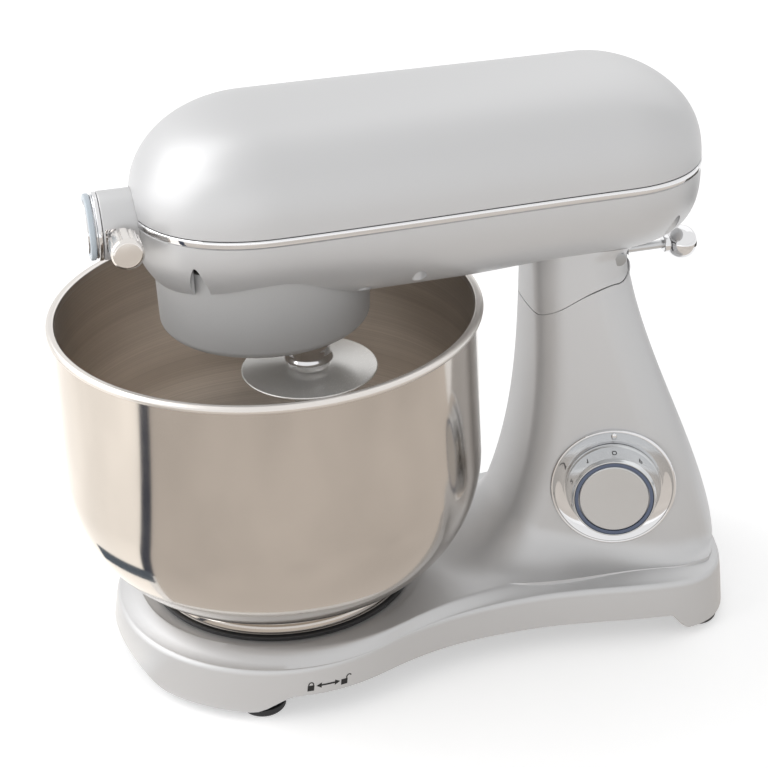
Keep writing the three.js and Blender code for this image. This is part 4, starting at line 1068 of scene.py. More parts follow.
    def skirt_place(self, points: Array, lift: float) -> Array:
        """Carries flat points to the skirt of the round front.

        Args:
            points: distance along the edge and height, from the middle of the printed sign.
            lift: height above the paint.

        Returns:
            The points on the skirt, the sign's middle at its bearing about the bowl.
        """
        a = math.radians(self.sign_bearing) + points[:, 0] / self.front_radius
        z = self.sign_height + points[:, 1]
        x, y = self.front_radius * np.cos(a), self.front_radius * np.sin(a)
        rim = self.edge_height(y) - self.edge_roll
        t = np.clip((rim - z) / (rim - self.skirt_bottom(y) - 0.5), 0, 1)
        away = np.stack([x, y - self.centre_y], axis=-1)
        away /= np.linalg.norm(away, axis=1)[:, None]
        out = self.skirt_out(t)
        return np.column_stack([x + away[:, 0] * out + lift * np.cos(a),
                                y + away[:, 1] * out + lift * np.sin(a), z])

    def lock_sign(self) -> Surface:
        """Printed sign on the skirt: a closed lock, an arrow both ways and an open lock."""
        def lock(x: float, shackle: Array) -> list[Array]:
            """Body and shackle of one lock about a place along the skirt."""
            body = [(x - 1.9, -1.0), (x, -1.0), (x + 1.9, -1.0)]
            return [ribbon(body, 3.4), ribbon(shackle + [x, 0.7], 0.65)]

        bands = lock(-10.1, np.vstack([[(1.35, 0)], arc(0, 0.5, 1.35, 0, 180, 16), [(-1.35, 0)]]))
        bands += lock(9.6, np.vstack([[(1.35, 0)], arc(2.7, 0.9, 1.35, 180, 20, 16)]))
        shaft = np.column_stack([np.linspace(-5.0, 5.0, 9), np.zeros(9)])
        bands.append(ribbon(shaft, 0.95))
        for side in (-1, 1):
            head = np.column_stack([side * np.linspace(6.9, 3.9, 5), np.zeros(5)])
            bands.append(ribbon(head, np.linspace(0.05, 3.3, 5)))
        return Surface("mixer_lock_sign", [printed(band, self.skirt_place) for band in bands])

    def seat_ring(self) -> Surface:
        """Black ring in the seat with its raised boss and three locking lugs."""
        low, top, outer = 38.5, 41.0, 78.6
        boss, boss_top = 58.0, 48.4
        ring = softened([(0, low), (outer, low), (outer, top), (boss, top), (boss, boss_top),
                         (boss - 3, boss_top), (boss - 4, top), (0, top)], 0.6)
        lugs = [sector(boss - 1, boss + 6.5, angle, LUG_WIDTH, boss_top - 3, boss_top)
                for angle in LUG_BEARINGS]
        return Surface("mixer_bowl_seat", [revolved(ring, 160), *lugs])

    def foot(self, x: float, y: float) -> Array:
        """Grid of a turned rubber foot."""
        profile = softened([(0, 0.4), (6, 0.4), (7, 0), (11.8, 0), (13, 1.6), (13, 4.9), (7, 4.9),
                            (7, 8.2), (4, 8.2), (4, 16), (0, 16)], 0.5)
        return revolved(profile, 48) + [x, y, 0]

    def gland(self) -> Surface:
        """Round cord inlet at the rear, left empty."""
        profile = softened([(3.2, -12), (6, -12), (6, 2.8), (8, 2.8), (8, 4.8), (4, 4.8), (3.2, -12)], 0.5)
        x, z = self.gland_place
        frame = axis_frame((x, self.rear, z), (0, 1, 0))
        return turned("mixer_cord_gland", profile, frame, 48)

    def dress(self, finishes: Finishes) -> None:
        """Builds the base and what is fixed to it."""
        self.casting().build("base", finishes.paint, "silver_paint", ["base_casting"])
        self.hinge_lugs().build("base", finishes.paint, "silver_paint")
        self.lock_sign().build("base", finishes.ink, "black_plastic")
        self.seat_ring().build("base", finishes.plastic, "black_plastic", ["bowl_seat"])
        self.gland().build("base", finishes.plastic, "black_plastic", ["cord_gland"])
        for name, x, y in self.feet:
            Surface(f"mixer_foot_{name}", [self.foot(x, y)]).build(
                "base", finishes.rubber, "black_rubber", [f"foot_{name}"])


@dataclass
class Neck:
    """Casting under the head that turns about the hinge."""

    column: Column = field(default_factory=Column)
    top: float = 264.0
    room_half: float = 25.6
    room: tuple[tuple[float, float], ...] = ((171, 209.5), (170, 262))
    gap: tuple[tuple[float, float], ...] = ((193, 226), (180, 223.5))

    def hinge_frame(self) -> Array:
        """Takes local Z to the right, about the axis of the hinge."""
        return axis_frame((0, *self.column.hinge), (1, 0, 0))

    def casting(self, head: Head) -> Surface:
        """The column's section from the joint up to the head, hollow between its cheeks."""
        levels = np.linspace(184, self.top, 81)
        rings = self.column.rows(levels)
        probe = self.column.rows(np.array([207.0]))[0]
        seam = self.column.seam(probe[:, 1]) + RUN_GAP
        rows = [between(rings, levels, seam + (self.top - seam) * t) for t in np.linspace(0, 1, 60)]
        seat = rows[0]
        level = self.column.seam(seat[:, 1]) + RUN_GAP
        inner = [np.column_stack([seat[:, 0] * (1 - t), seat[:, 1], level])
                 for t in np.linspace(1, 0, 9)[:-1]]
        lid = rows[-1] * [0, 1, 1]
        hull_base = head.band_height - head.band_width - FIT_GAP
        hull = head.dome(head.hull_roundness, head.hull_tip, hull_base, -head.hull_depth - FIT_GAP)
        across = (-self.room_half, self.room_half)
        room = block(across, *self.room)
        front = cylinder(8.2, -self.room_half, self.room_half, 48, self.hinge_frame())
        under = block(across, *self.gap)
        cutters = [[hull], [room], [front], [under]]
        return Surface("mixer_neck", [np.stack([*inner, *rows, lid])], crease=28, cutters=cutters)

    def pin(self) -> Surface:
        """Hinge pin with chamfered ends."""
        profile = softened([(0, -33), (4, -33), (4, 33), (0, 33)], 0.6)
        return turned("mixer_hinge_pin", profile, self.hinge_frame(), 32)

    def dress(self, head: Head, finishes: Finishes) -> None:
        """Builds the neck and its pin."""
        self.casting(head).build("head", finishes.paint, "silver_paint", ["neck_casting"])
        self.pin().build("base", finishes.gear, "gear_steel", ["hinge_pin"])


@dataclass
class Lever:
    """Release lever behind the neck: a rod with a ball knob, and a claw that holds the head down."""

    pivot: tuple[float, float] = (181.0, 223.5)
    rod_height: float = 217.6
    knob_y: float = 250.5
    knob_radius: float = 10.0
    knob_half: float = 9.2
    catch: tuple[float, float] = (195.0, 205.0)

    def arm(self) -> Surface:
        """Rod and claw plate as one piece."""
        y, z = self.pivot
        claw, c = self.catch[0] - 2.9, self.catch[1]
        outline = np.vstack([arc(y, z, 5.5, 0, 180, 24),
                             [(y - 2.5, z - 8), (claw - 8, c - 3), (claw - 1.5, c - 3), (claw, c),
                              (claw - 4, c + 6), (y + 5.5, self.rod_height - 2)]])
        across = axis_frame((0, 0, 0), (1, 0, 0))
        plate = moved(prism(outline, -3, 3, 0.4), across)
        rod = softened([(0, y), (2.5, y), (2.5, self.knob_y - 6), (0, self.knob_y - 6)], 0.5)
        back = axis_frame((0, 0, self.rod_height), (0, 1, 0))
        return Surface("mixer_release_lever", [plate, moved(revolved(rod, 32), back)])

    def knob(self) -> Surface:
        """Ball knob, a little flat at its end, with a collar on the rod."""
        angle = np.radians(np.linspace(-64, 90, 60))
        ball = np.column_stack([self.knob_radius * np.cos(angle) ** 0.94,
                                self.knob_half * np.sign(np.sin(angle)) * np.abs(np.sin(angle)) ** 0.97])
        end = -self.knob_half - 2.5
        collar = softened([(0, end), (4.6, end), (5.0, end + 0.6), (5.0, ball[0, 1])], 0.5)
        profile = np.vstack([collar, ball])
        frame = axis_frame((0, self.knob_y, self.rod_height), (0, 1, 0))
        return turned("mixer_lever_knob", profile, frame, 96, 50)

    def dress(self, finishes: Finishes) -> None:
        """Builds the lever and its knob."""
        self.arm().build("lever", finishes.satin, "gear_steel", ["release_lever"])
        self.knob().build("lever", finishes.chrome, "chrome", ["lever_knob"])


# ------------------------------------------------------------------ planetary drum and beater
@dataclass
class Beater:
    """Drum that turns under the head, with the sleeve, guard and dough hook on its shaft."""

    drum_radius: float = 59.3
    drum_bottom: float = 208.8
    drum_top: float = 257.5
    drum_wall: float = 2.6
    orbit: float = 27.0
    bearing: float = 48.0
    guard_height: float = 180.6
    guard_radius: float = 39.0
    hook_reach: float = 33.0
    hook_bottom: float = 66.0
    hook_rod: float = 5.2
    hook_start: float = 150.0
    hook_sweep: float = 200.0
    shaft_hole: float = 5.3
    drum_edge: float = 4.2

    def centre(self) -> Array:
        """Place of the beater shaft at rest."""
        angle = math.radians(self.bearing)
        return np.array([self.orbit * math.cos(angle), self.orbit * math.sin(angle), 0.0])

    def drum(self) -> Surface:
        """Open-topped drum with a rounded lower edge, bored for the beater shaft."""
        r, low, top, wall = self.drum_radius, self.drum_bottom, self.drum_top, self.drum_wall
        edge = self.drum_edge
        side = np.column_stack([np.linspace(r, r + 1.1, 14), np.linspace(low + edge, top, 14)])
        profile = np.vstack([[(0, low)], arc(r - edge, low + edge, edge, -90, 0, 16)[:-1], side,
                             [(r + 1.1 - wall, top), (r - wall, low + edge), (0, low + edge)]])
        bore = cylinder(5.8, low - 4, low + 9, 40) + self.centre()
        return Surface("mixer_drum", [revolved(profile, 200)], cutters=[[bore]])

    def sleeve(self) -> Surface:
        """Turned sleeve on the shaft with a flared collar at its lower end."""
        low, top, hole = self.guard_height + 4.9, self.drum_bottom - RUN_GAP, self.shaft_hole
        profile = softened([(hole, low), (12.6, low), (14, low + 0.9), (13.6, low + 2.2), (12.5, low + 4.6),
                            (12.3, low + 8), (12.3, top), (hole, top), (hole, low)], 0.8)
        return Surface("mixer_shaft_sleeve", [revolved(profile, 120) + self.centre()], crease=50)

    def guard(self) -> Surface:
        """Thin round plate that keeps splashes off the drive, dished toward its hub."""
        z, r, hole = self.guard_height, self.guard_radius, self.shaft_hole
        profile = softened([(hole, z + 0.6), (r - 1, z - 1.4), (r, z - 0.6), (r - 0.6, z + 0.2), (12, z + 2),
                            (10, z + 4.5), (hole, z + 4.5), (hole, z + 0.6)], 0.5)
        return Surface("mixer_splash_guard", [revolved(profile, 200) + self.centre()], crease=20)

    def hook(self) -> Surface:
        """Dough hook.

        With t from 0 to 1 the rod turns about the shaft by the sweep, its reach is
        R sin(0.94 πt)^0.8 (1 - t/4), and it sinks as sin(π/2 t^0.9).
        """
        t = np.linspace(0, 1, 150) ** 1.15
        reach = self.hook_reach * np.sin(0.94 * math.pi * t) ** 0.8 * (1 - 0.25 * t)
        turn = np.radians(self.hook_start + self.hook_sweep * t)
        top, bottom = self.guard_height - 20, self.hook_bottom + self.hook_rod
        z = top + (bottom - top) * np.sin(math.pi / 2 * t ** 0.9)
        path = np.column_stack([reach * np.cos(turn), reach * np.sin(turn), z]) + self.centre()
        s = np.linspace(0, 1, len(t))
        blunt = np.sqrt(np.clip(1 - (1 - np.clip((1 - s) / 0.02, 0, 1)) ** 2, 0, 1))
        sides = np.tile([0.3, 0.2, 1.0], (len(t), 1))
        rod = swept(path, self.hook_rod * blunt * np.where(s == 0, 0, 1), sides, 32)
        low, high, hole = self.guard_height - 24, self.guard_height - 2, self.shaft_hole
        socket = softened([(hole, low + 1), (9.5, low), (9.5, high), (hole, high), (hole, low + 1)], 1.4)
        return Surface("mixer_dough_hook", [rod, revolved(socket, 64) + self.centre()], crease=50)

    def dress(self, finishes: Finishes) -> None:
        """Builds the drum and everything on the beater's shaft."""
        self.drum().build("planet_carrier", finishes.drum, "satin_silver", ["planetary_hub"])
        self.sleeve().build("beater", finishes.chrome, "chrome", ["shaft_sleeve"])
        self.guard().build("beater", finishes.plate, "polished_steel", ["splash_guard"])
        self.hook().build("beater", finishes.plate, "polished_steel", ["dough_hook"])


# ------------------------------------------------------------------ accessory hub
@dataclass
class Hub:
    """Round hub on the front of the head, with its cap and thumb screw."""

    height: float = 274.6
    radius: float = 18.9
    bore: float = 15.2
    rear: float = 62.2
    front: float = 87.6
    cap_thickness: float = 8.05
    screw_y: float = -78.0
    screw_radius: float = 9.0
    screw_end: float = 44.5

    def frame(self) -> Array:
        """Takes local Z to the front, about the middle of the hub."""
        return axis_frame((0, 0, self.height), (0, -1, 0))

    def across(self) -> Array:
        """Takes local Z to the right, about the axis of the thumb screw."""
        return axis_frame((0, self.screw_y, self.height), (1, 0, 0))

    def barrel(self) -> Surface:
        """Barrel with a screw hole and a bayonet notch that opens at its rim."""
        r, rear, front = self.radius, self.rear, self.front
        profile = softened([(6, rear), (r, rear), (r, front), (self.bore, front), (self.bore, rear + 3),
                            (6, rear + 3), (6, rear)], 0.9)
        hole = cylinder(3.8, 10, 30, 40, self.across())
        h = self.height
        along = block((10, 30), (-86.4, -80.6), (h + 0.6, h + 4.6))
        mouth = block((10, 30), (-86.4, -84.2), (h - 9, h + 1))
        return Surface("mixer_hub_barrel", [moved(revolved(profile, 160), self.frame())],
                       cutters=[[hole], [along], [mouth]])

    def cap(self) -> Surface:
        """Cap with a plug in the bore, a thin groove and a dished face."""
        front, face = self.front, self.front + self.cap_thickness
        seat = front + FIT_GAP
        t = np.linspace(1, 0, 12)
        dish = np.column_stack([13.2 * t, face - 0.25 - 0.35 * (1 - t * t)])
        edge = softened([(0, front - 8), (14.6, front - 8), (14.6, seat), (18.9, seat), (18.9, seat + 2.2),
                         (17.5, seat + 2.6), (17.5, seat + 3.4), (14.4, seat + 3.4), (14.4, face),
                         (13.2, face - 0.2)], 0.5)
        return turned("mixer_hub_cap", np.vstack([edge, dish[1:]]), self.frame())

    def cap_ring(self) -> Surface:
        """Grey ring set round the cap's face."""
        rear, face = self.front + 4.0, self.front + self.cap_thickness - 0.8
        profile = softened([(14.7, rear), (18.3, rear), (18.3, face), (14.7, face), (14.7, rear)], 1.0)
        return turned("mixer_hub_cap_ring", profile, self.frame())

    def thumb_screw(self) -> Surface:
        """Thumb screw with a fluted head."""
        end, r = self.screw_end, self.screw_radius
        start = end - 17
        shank = softened([(0, 15.8), (3.5, 15.8), (3.5, 21.9), (5, 22.5), (5, start), (r, start)], 0.6)
        side = np.column_stack([np.full(20, r), np.linspace(start + 0.8, end - 1.6, 20)])
        tip = softened([(r, end - 1.6), (r - 1.4, end), (0, end)], 1.0)
        profile = np.vstack([shank[:-1], [(r - 0.8, start)], side, tip[1:]])
        grid = fluted(revolved(profile, 240), start + 0.4, end - 2.0, 10, 0.8)
        return Surface("mixer_thumb_screw", [moved(grid, self.across())], crease=40)

    def dress(self, finishes: Finishes) -> None:
        """Builds the hub."""
        self.barrel().build("head", finishes.paint, "satin_silver", ["hub_barrel"])
        self.cap().build("hub_cap", finishes.chrome, "chrome", ["hub_cap"])
        self.cap_ring().build("hub_cap", finishes.ring, "grey_plastic", ["hub_cap_ring"])
        self.thumb_screw().build("thumb_screw", finishes.warm_chrome, "chrome", ["thumb_screw"])


# ------------------------------------------------------------------ speed dial
@dataclass
class Dial:
    """Speed dial on the side of the column."""

    column: Column = field(default_factory=Column)
    bezel_radius: float = 37.1
    knob_radius: float = 28.1
    face_radius: float = 23.4
    reach: float = 18.0
    step: float = 37.0
    mark_height: float = 9.2
    mark_radius: float = 26.0

    def frame(self) -> Array:
        """Takes local Z straight out of the side of the column."""
        return axis_frame(self.column.dial, (1, -self.column.side_slope, self.column.lean_slope))

    def bezel(self) -> Surface:
        """Dished ring with a rounded rim, and an oval index lug at its top."""
        r, groove = self.bezel_radius, self.knob_radius + 0.6
        t = np.linspace(0, 1, 16)
        dish = np.column_stack([r - 1.6 - (r - 1.6 - groove - 0.9) * t, 2.5 - 1.9 * t ** 0.6])
        rim = softened([(7.3, -0.8), (r, -0.8), (r, 1.6), (r - 0.7, 2.6), (r - 1.6, 2.5)], 0.6)
        inner = softened([(groove + 0.9, 0.6), (groove, 0.4), (groove - 2, 0.3), (groove - 2, 0.1),
                          (7.3, 0.1), (7.3, -0.8)], 0.2)
        ring = revolved(np.vstack([rim, dish[1:], inner[1:]]), 200)
        a = np.linspace(0, 2 * math.pi, 65)
        h = np.radians(np.linspace(0, 90, 10))
        lug = np.stack([np.outer(np.cos(h), 1.75 * np.cos(a)), 32.9 + np.outer(np.cos(h), 2.7 * np.sin(a)),
                        np.outer(0.5 + 1.9 * np.sin(h) ** 0.7, np.ones(65))], axis=-1)
        return Surface("mixer_dial_bezel", [moved(ring, self.frame()), moved(lug, self.frame())], crease=40)

    def skirt_radius(self, z: Array) -> Array:
        """Radius of the knob's skirt, which draws in as a hollow curve toward the face."""
        t = np.clip((z - 4) / 11, 0, 1)
        return self.knob_radius - 0.9 - (self.knob_radius - self.face_radius - 2.4) * (1 - (1 - t) ** 1.8)

    def knob(self) -> Surface:
        """Knob with a hollow skirt and a raised rim round its face."""
        r, f, top = self.knob_radius, self.face_radius, self.reach
        z = np.linspace(4, 15, 30)
        skirt = np.column_stack([self.skirt_radius(z), z])
        foot = softened([(0, 0.9), (r - 0.4, 0.9), (r, 1.6), (r, 3.0), tuple(skirt[0])], 0.7)
        rim = softened([tuple(skirt[-1]), (f + 0.9, top - 1.6), (f + 0.4, top), (f - 0.3, top),
                        (f - 0.3, top - 1.6), (0, top - 1.6)], 0.5)
        spindle = softened([(0, -9), (3, -9), (3, 1.2), (0, 1.2)], 0.3)
        grids = [np.vstack([foot, skirt[1:], rim[1:]]), spindle]
        return Surface("mixer_speed_knob", [moved(revolved(grid, 200), self.frame()) for grid in grids], 40)

    def face_levels(self) -> tuple[float, float]:
        """Lower and upper side of the disc and of the ring round it."""
        return self.reach - 1.3, self.reach - 0.2

    def light_ring(self) -> Surface:
        """Blue-grey ring between the rim and the face."""
        inner, outer, (low, high) = self.face_radius - 2.6, self.face_radius - 0.6, self.face_levels()
        profile = softened([(inner, low), (outer, low), (outer, high), (inner, high), (inner, low)], 0.2)
        return turned("mixer_light_ring", profile, self.frame(), 200)

    def face(self) -> Surface:
        """Satin disc of the face, slightly hollow."""
        edge, (low, high) = self.face_radius - 2.9, self.face_levels()
        t = np.linspace(1, 0, 12)
        hollow = np.column_stack([(edge - 0.7) * t, high - 0.3 * (1 - t * t)])
        rim = softened([(0, low), (edge, low), (edge, high - 0.5), (edge - 0.7, high)], 0.3)
        profile = np.vstack([rim, hollow[1:]])
        return turned("mixer_knob_face", profile, self.frame(), 200)

    def skirt_place(self, step: float) -> Callable[[Array, float], Array]:
        """Place of flat points on the skirt, a number of degrees round from its top."""
        def place(points: Array, lift: float) -> Array:
            """Wraps points round the skirt: x runs round it and y toward the face."""
            z = self.mark_height + points[:, 1]
            radius = self.skirt_radius(z) + lift
            angle = math.radians(90 + step) - points[:, 0] / self.mark_radius
            return moved(np.column_stack([radius * np.cos(angle), radius * np.sin(angle), z]), self.frame())
        return place

    def marks(self) -> Surface:
        """Printed marks of the settings, from the pulse setting on one side to the fifth speed."""
        oval = arc(0, 0, 1.0, 0, 360, 24) * [1.0, 1.35]
        stem = [(0.0, -1.35), (0.0, 0.0), (0.0, 1.35)]
        marks = {
            -1: [np.array(stem) - [0.7, 0],
                 np.vstack([[(-0.7, 1.3)], arc(0.1, 0.6, 0.72, 90, -90, 12), [(-0.7, -0.1)]])],
            0: [oval],
            1: [stem, [(-0.65, 0.75), (-0.3, 1.05), (0.0, 1.4)]],
            2: [np.vstack([arc(0, 0.62, 0.74, 160, -35, 14), [(-0.75, -1.2)]]),
                [(-0.8, -1.25), (0, -1.25), (0.85, -1.25)]],
            3: [arc(0, 0.66, 0.66, 150, -80, 14), arc(0, -0.62, 0.74, 80, -150, 14)],
            4: [[(0.45, -1.35), (0.45, 0), (0.45, 1.35)], [(0.45, 1.35), (-0.2, 0.5), (-0.85, -0.45)],
                [(-0.9, -0.5), (0, -0.5), (0.95, -0.5)]],
            5: [[(0.7, 1.25), (0, 1.25), (-0.6, 1.25)], [(-0.6, 1.3), (-0.62, 0.7), (-0.65, 0.1)],
                arc(-0.05, -0.45, 0.82, 120, -140, 16)],
        }
        grids = [printed(ribbon(np.asarray(stroke) * 1.25, 0.5), self.skirt_place(number * self.step), 0.1)
                 for number, strokes in marks.items() for stroke in strokes]
        return Surface("mixer_dial_marks", grids)

    def dress(self, finishes: Finishes) -> None:
        """Builds the dial."""
        self.bezel().build("base", finishes.chrome, "chrome", ["dial_bezel"])
        self.knob().build("dial", finishes.knob, "chrome", ["speed_knob"])
        self.light_ring().build("dial", finishes.guide, "light_guide", ["knob_light_ring"])
        self.face().build("dial", finishes.face, "satin_silver", ["knob_face"])
        self.marks().build("dial", finishes.ink, "black_plastic")


# ------------------------------------------------------------------ bowl
@dataclass
class Bowl:
    """Steel bowl with a rolled lip, polished outside and brushed inside."""

    rim_height: float = 214.3
    mouth: float = 118.6
    lip_reach: float = 4.75
    lip_height: float = 4.6
    wall: float = 1.2
    belly_height: float = 120.0
    belly_radius: float = 121.3
    floor_radius: float = 75.0
    floor_height: float = 54.1
    roundness: float = 1.9
    foot_wall: float = 4.5

    def belly(self, offset: float, count: int) -> Array:
        """Lower part of the profile: a quarter of a superellipse from the floor to the belly."""
        a = np.radians(np.linspace(90, 0, count))
        out, down = np.cos(a) ** (2 / self.roundness), np.sin(a) ** (2 / self.roundness)
        reach = self.belly_radius - self.floor_radius - offset
        depth = self.belly_height - self.floor_height - offset
        return np.column_stack([self.floor_radius + reach * out, self.belly_height - depth * down])

    def profile(self) -> tuple[Array, Array]:
        """Outer and inner profiles, which meet on top of the rolled lip."""
        lip_z = self.rim_height - self.lip_height / 2
        lip = arc(self.mouth + self.lip_reach - self.lip_height / 2, lip_z, self.lip_height / 2, -100, 90, 22)
        t = np.linspace(0, 1, 26)[1:, None]
        outer_end = np.array([[self.mouth + self.wall, lip_z - self.lip_height / 2 - 0.4]])
        outer = self.belly(0, 90)
        straight = outer[-1:] + (outer_end - outer[-1:]) * t
        outer = np.vstack([[[0, self.floor_height]], outer, straight, lip])
        edge = arc(self.mouth + 1.2, self.rim_height - 1.2, 1.2, 90, 180, 8)
        inner = self.belly(self.wall, 90)[::-1]
        down = edge[-1:] + (inner[:1] - edge[-1:]) * t
        inner = np.vstack([lip[-1:], edge, down, inner[1:], [[0, self.floor_height + self.wall]]])
        return outer, inner

    def dress(self, finishes: Finishes) -> None:
        """Builds the bowl as one mesh with two finishes, and the foot ring under it."""
        outer, inner = self.profile()
        piece = Surface("mixer_bowl", [revolved(outer, 240), revolved(inner, 240)], crease=60)
        bowl = piece.build("bowl", finishes.steel, "polished_steel", ["bowl"])
        bowl.data.materials.append(finishes.bowl_inside)
        bowl.data.materials.append(finishes.lip)
        self._paint_inside(bowl, outer)
        low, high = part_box("bowl_foot")
        bottom, top, radius = low.z / MM, high.z / MM, high.x / MM
        inner = radius - self.foot_wall
        profile = softened([(inner, bottom), (radius, bottom), (radius, bottom + 2),
                            (radius - 0.6, bottom + 5), (radius - 2.2, bottom + 6.5), (radius - 3.4, top),
                            (inner - 1.5, top), (inner, bottom)], 0.9)
        tabs = [sector(60, inner + 1, angle, LUG_WIDTH, bottom + 1.6, bottom + 3.6) for angle in LUG_BEARINGS]
        Surface("mixer_bowl_foot", [revolved(profile, 160), *tabs]).build(
            "bowl", finishes.steel, "polished_steel", ["bowl_foot"])

    def _paint_inside(self, bowl: bpy.types.Object, outer: Array) -> None:
        """Gives the inner finish to faces that point toward the axis, or up from the floor."""
        mesh = bowl.data
        centres, normals = np.empty(len(mesh.polygons) * 3), np.empty(len(mesh.polygons) * 3)
        mesh.polygons.foreach_get("center", centres)
        mesh.polygons.foreach_get("normal", normals)
        centres, normals = centres.reshape(-1, 3), normals.reshape(-1, 3)
        away = centres - [0, Stand.axis_y * MM, 0]
        height = away[:, 2].copy()
        away[:, 2] = 0
        reach = np.linalg.norm(away, axis=1)
        facing = np.sum(away * normals, axis=1) / np.maximum(reach, 1e-6)
        inside = (facing < -0.15) | ((normals[:, 2] > 0.3) & (height < 0.09))
        inside &= height < (self.rim_height - 0.8) * MM
        lip = height > (self.rim_height - self.lip_height - 0.2) * MM
        choice = np.where(lip, 2, inside.astype(np.int32))
        mesh.polygons.foreach_set("material_index", choice.astype(np.int32))


# ------------------------------------------------------------------ what stays inside
class Works:
    """Solids of the frame that keep their shape: the drive, the plate underneath and small pins."""

    def __init__(self, finishes: Finishes) -> None:
        """Chooses a finish for each solid."""
        self.choice = [
            (finishes.gear, ("catch_pin", "lever_pin", "ring_gear", "carrier_bearing_lower",
                             "carrier_bearing_upper", "motor_can", "motor_rotor", "jackshaft",
                             "carrier_shaft", "beater_shaft", "planet_pinion")),
            (finishes.cast, ("gear_frame", "main_gear", "large_pulley", "motor_pulley")),
            (finishes.copper, ("motor_stator",)),
            (finishes.plastic, ("bottom_plate", "speed_switch", "motor_fan")),
            (finishes.rubber, ("drive_belt",)),
            (finishes.board, ("control_board",)),
        ]

    def dress(self, nodes: dict[str, bpy.types.Object]) -> None:
        """Gives each solid its finish."""
        for finish, names in self.choice:
            for name in names:
                nodes[name].data.materials.clear()
                nodes[name].data.materials.append(finish)
                log.info("%s keeps its shape, in %s", name, finish.name)


# ------------------------------------------------------------------ scene
@dataclass
class Studio:
    """Camera, floor and soft lights."""

    target: tuple[float, float, float] = (0.0, 67.42, 152.25)
    distance: float = 1171.8
    azimuth: float = 76.55
    elevation: float = 27.87
    roll: float = 2.1
    lens: float = 93.75
    sensor: float = 36.0
    aim_height: float = 0.16
    floor_reach: float = 6.0
    floor_shade: float = 0.82
    floor_glow: float = 0.46
    air: tuple[float, float] = (0.5, 1.0)

    def camera(self) -> None:
        """Places the camera on its orbit round the target and rolls it."""
        azimuth, elevation = math.radians(self.azimuth), math.radians(self.elevation)
        out = Vector((math.cos(elevation) * math.sin(azimuth), -math.cos(elevation) * math.cos(azimuth),
                      math.sin(elevation)))
        target = (Vector(self.target) + Vector((0, Stand.axis_y, 0))) * MM
        data = bpy.data.cameras.new("camera")
        data.lens = self.lens
        data.sensor_width = self.sensor
        camera = placed("camera", data)
        turn = out.to_track_quat("Z", "Y").to_matrix() @ Matrix.Rotation(math.radians(-self.roll), 3, "Z")
        camera.matrix_world = Matrix.Translation(target + out * self.distance * MM) @ turn.to_4x4()
        bpy.context.scene.camera = camera

    def light(self, name: str, place: Sequence[float], size: float, power: float,
              mirrored: bool = True) -> None:
        """One soft square lamp that faces the mixer, seen in mirrors or not."""
        data = bpy.data.lights.new(name, "AREA")
        data.shape = "SQUARE"
        data.size = size
        data.energy = power
        lamp = placed(name, data)
        aim = (Vector((0, 0, self.aim_height)) - Vector(place)).to_track_quat("-Z", "Y")
        lamp.matrix_world = Matrix.Translation(Vector(place)) @ aim.to_matrix().to_4x4()
        lamp.visible_glossy = mirrored

    def backdrop(self, name: str, shade: float, glow: float) -> bpy.types.Material:
        """White floor: matt for the light, with a little glow that only the eye and mirrors see."""
        shader = Shader(name, (shade, shade, shade), 0.95, 0.0, specular_ior_level=0.0)
        rays = [shader.node("ShaderNodeLightPath", output=way) for way in ("Is Camera Ray", "Is Glossy Ray")]
        seen = (rays[0] + rays[1]).clipped()
        shader.to("Emission Color", shader.mix(seen, (0.0, 0.0, 0.0), (1.0, 1.0, 1.0)))
        shader.surface.inputs["Emission Strength"].default_value = glow
        return shader.material

    def card(self, name: str, start: float, end: float, inner: float, outer: float,
             colour: Sequence[float], lift: float = 1.5) -> None:
        """Flat card on the floor that only mirrors see.

        Args:
            name: name of the card.
            start: where it starts round the bowl, in degrees to the right of the camera.
            end: where it ends.
            inner: nearest distance from the bowl's axis, in mm.
            outer: farthest distance.
            colour: how bright it looks.
            lift: height above the floor.
        """
        azimuth = math.radians(self.azimuth)
        turn = math.degrees(math.atan2(-math.cos(azimuth), math.sin(azimuth)))
        rows = np.stack([arc(0, 0, radius, turn + start, turn + end, 24) for radius in (inner, outer)])
        grid = np.concatenate([rows, np.full((*rows.shape[:2], 1), lift)], axis=-1) + [0, Stand.axis_y, 0]
        index = np.arange(grid.shape[0] * grid.shape[1]).reshape(grid.shape[:2])
        faces = np.stack([index[0, :-1], index[0, 1:], index[1, 1:], index[1, :-1]], axis=-1)
        data = bpy.data.meshes.new(name)
        data.from_pydata((grid.reshape(-1, 3) * MM).tolist(), [], faces.tolist())
        shader = Shader(name, (0.0, 0.0, 0.0), 1.0, 0.0, specular_ior_level=0.0)
        clouds = shader.ramp(shader.noise(3.5, 2.0), (0.35, 0.0), (0.65, 1.0))
        shader.to("Emission Color", shader.mix(clouds, tinted(colour, 0.86), colour))
        shader.surface.inputs["Emission Strength"].default_value = 1.0
        data.materials.append(shader.material)
        thing = placed(name, data)
        for ray in ("camera", "diffuse", "shadow", "transmission"):
            setattr(thing, f"visible_{ray}", False)
        thing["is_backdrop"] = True

    def world(self, plain: float, seen: float) -> None:
        """Even light all round, at one level for the light and another for the eye and mirrors."""
        world = bpy.data.worlds.new("studio")
        bpy.context.scene.world = world
        world.use_nodes = True
        nodes, links = world.node_tree.nodes, world.node_tree.links
        background = nodes["Background"]
        background.inputs["Color"].default_value = (1, 1, 1, 1)
        rays = nodes.new("ShaderNodeLightPath")
        either = nodes.new("ShaderNodeMath")
        either.operation = "MAXIMUM"
        for socket, ray in zip(either.inputs, ("Is Camera Ray", "Is Glossy Ray")):
            links.new(rays.outputs[ray], socket)
        level = nodes.new("ShaderNodeMapRange")
        level.inputs["To Min"].default_value = plain
        level.inputs["To Max"].default_value = seen
        links.new(either.outputs[0], level.inputs["Value"])
        links.new(level.outputs[0], background.inputs["Strength"])

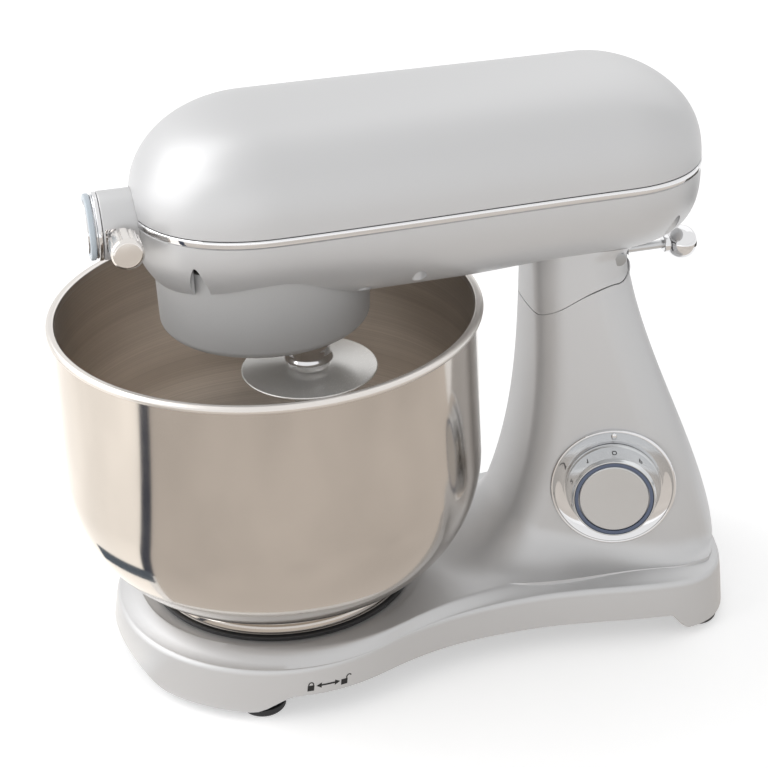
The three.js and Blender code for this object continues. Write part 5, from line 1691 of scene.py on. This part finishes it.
    def dress(self) -> None:
        """Makes the floor, the world, the lamps and the cards."""
        bpy.context.scene.view_settings.view_transform = "Standard"
        self.world(*self.air)
        floor_mesh = bpy.data.meshes.new("floor")
        corners = [(x * self.floor_reach, y * self.floor_reach, 0)
                   for x, y in ((-1, -1), (1, -1), (1, 1), (-1, 1))]
        floor_mesh.from_pydata(corners, [], [(0, 1, 2, 3)])
        floor = placed("floor", floor_mesh)
        floor_mesh.materials.append(self.backdrop("floor", self.floor_shade, self.floor_glow))
        floor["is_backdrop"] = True
        for lamp in (("key", (-0.3, -2.6, 1.6), 3.0, 40), ("window", (-1.3, -1.4, 2.1), 1.8, 15),
                     ("rear", (-1.4, 1.4, 1.8), 2.4, 5), ("fill", (2.1, -0.9, 0.3), 1.6, 17.5, False)):
            self.light(*lamp)
        black = (0.10, 0.09, 0.08)
        for card in (("warm_card", -56, 100, 108, 900, (0.78, 0.72, 0.66)),
                     ("dark_card", -62, -56, 170, 1100, (0.07, 0.08, 0.11)),
                     ("blue_card", -100, -57, 150, 178, (0.13, 0.16, 0.20), 2.4),
                     ("light_card", -140, -62, 108, 1200, (1.5, 1.44, 1.36)),
                     ("front_card", -126, -104, 500, 640, black, 3.0),
                     ("rear_card", 101, 130, 640, 900, black, 3.0)):
            self.card(*card)


def save_boxes(before: object, after: object) -> None:
    """Makes JSON text of the CAD box and the visual model's box, and keeps it nowhere."""
    def plain(corners: object) -> list[list[float]]:
        """Corners as lists of numbers."""
        return [[float(v) for v in corner] for corner in corners]
    json.dumps({"cad": plain(before), "visual": plain(after)})


def main() -> None:
    """Builds the mixer's looks, piece by piece."""
    logging.basicConfig(level=logging.INFO, format="%(message)s")
    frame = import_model()
    cad_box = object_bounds()
    Stand.read()
    finishes = Finishes()
    Studio().camera()
    Studio().dress()
    head = Head()
    head.dress(finishes)
    Base().dress(finishes)
    Neck().dress(head, finishes)
    Lever().dress(finishes)
    Bowl().dress(finishes)
    Beater().dress(finishes)
    Hub().dress(finishes)
    Dial().dress(finishes)
    Works(finishes).dress(frame["nodes"])
    save_boxes(cad_box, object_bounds())


if __name__ == "__main__":
    main()
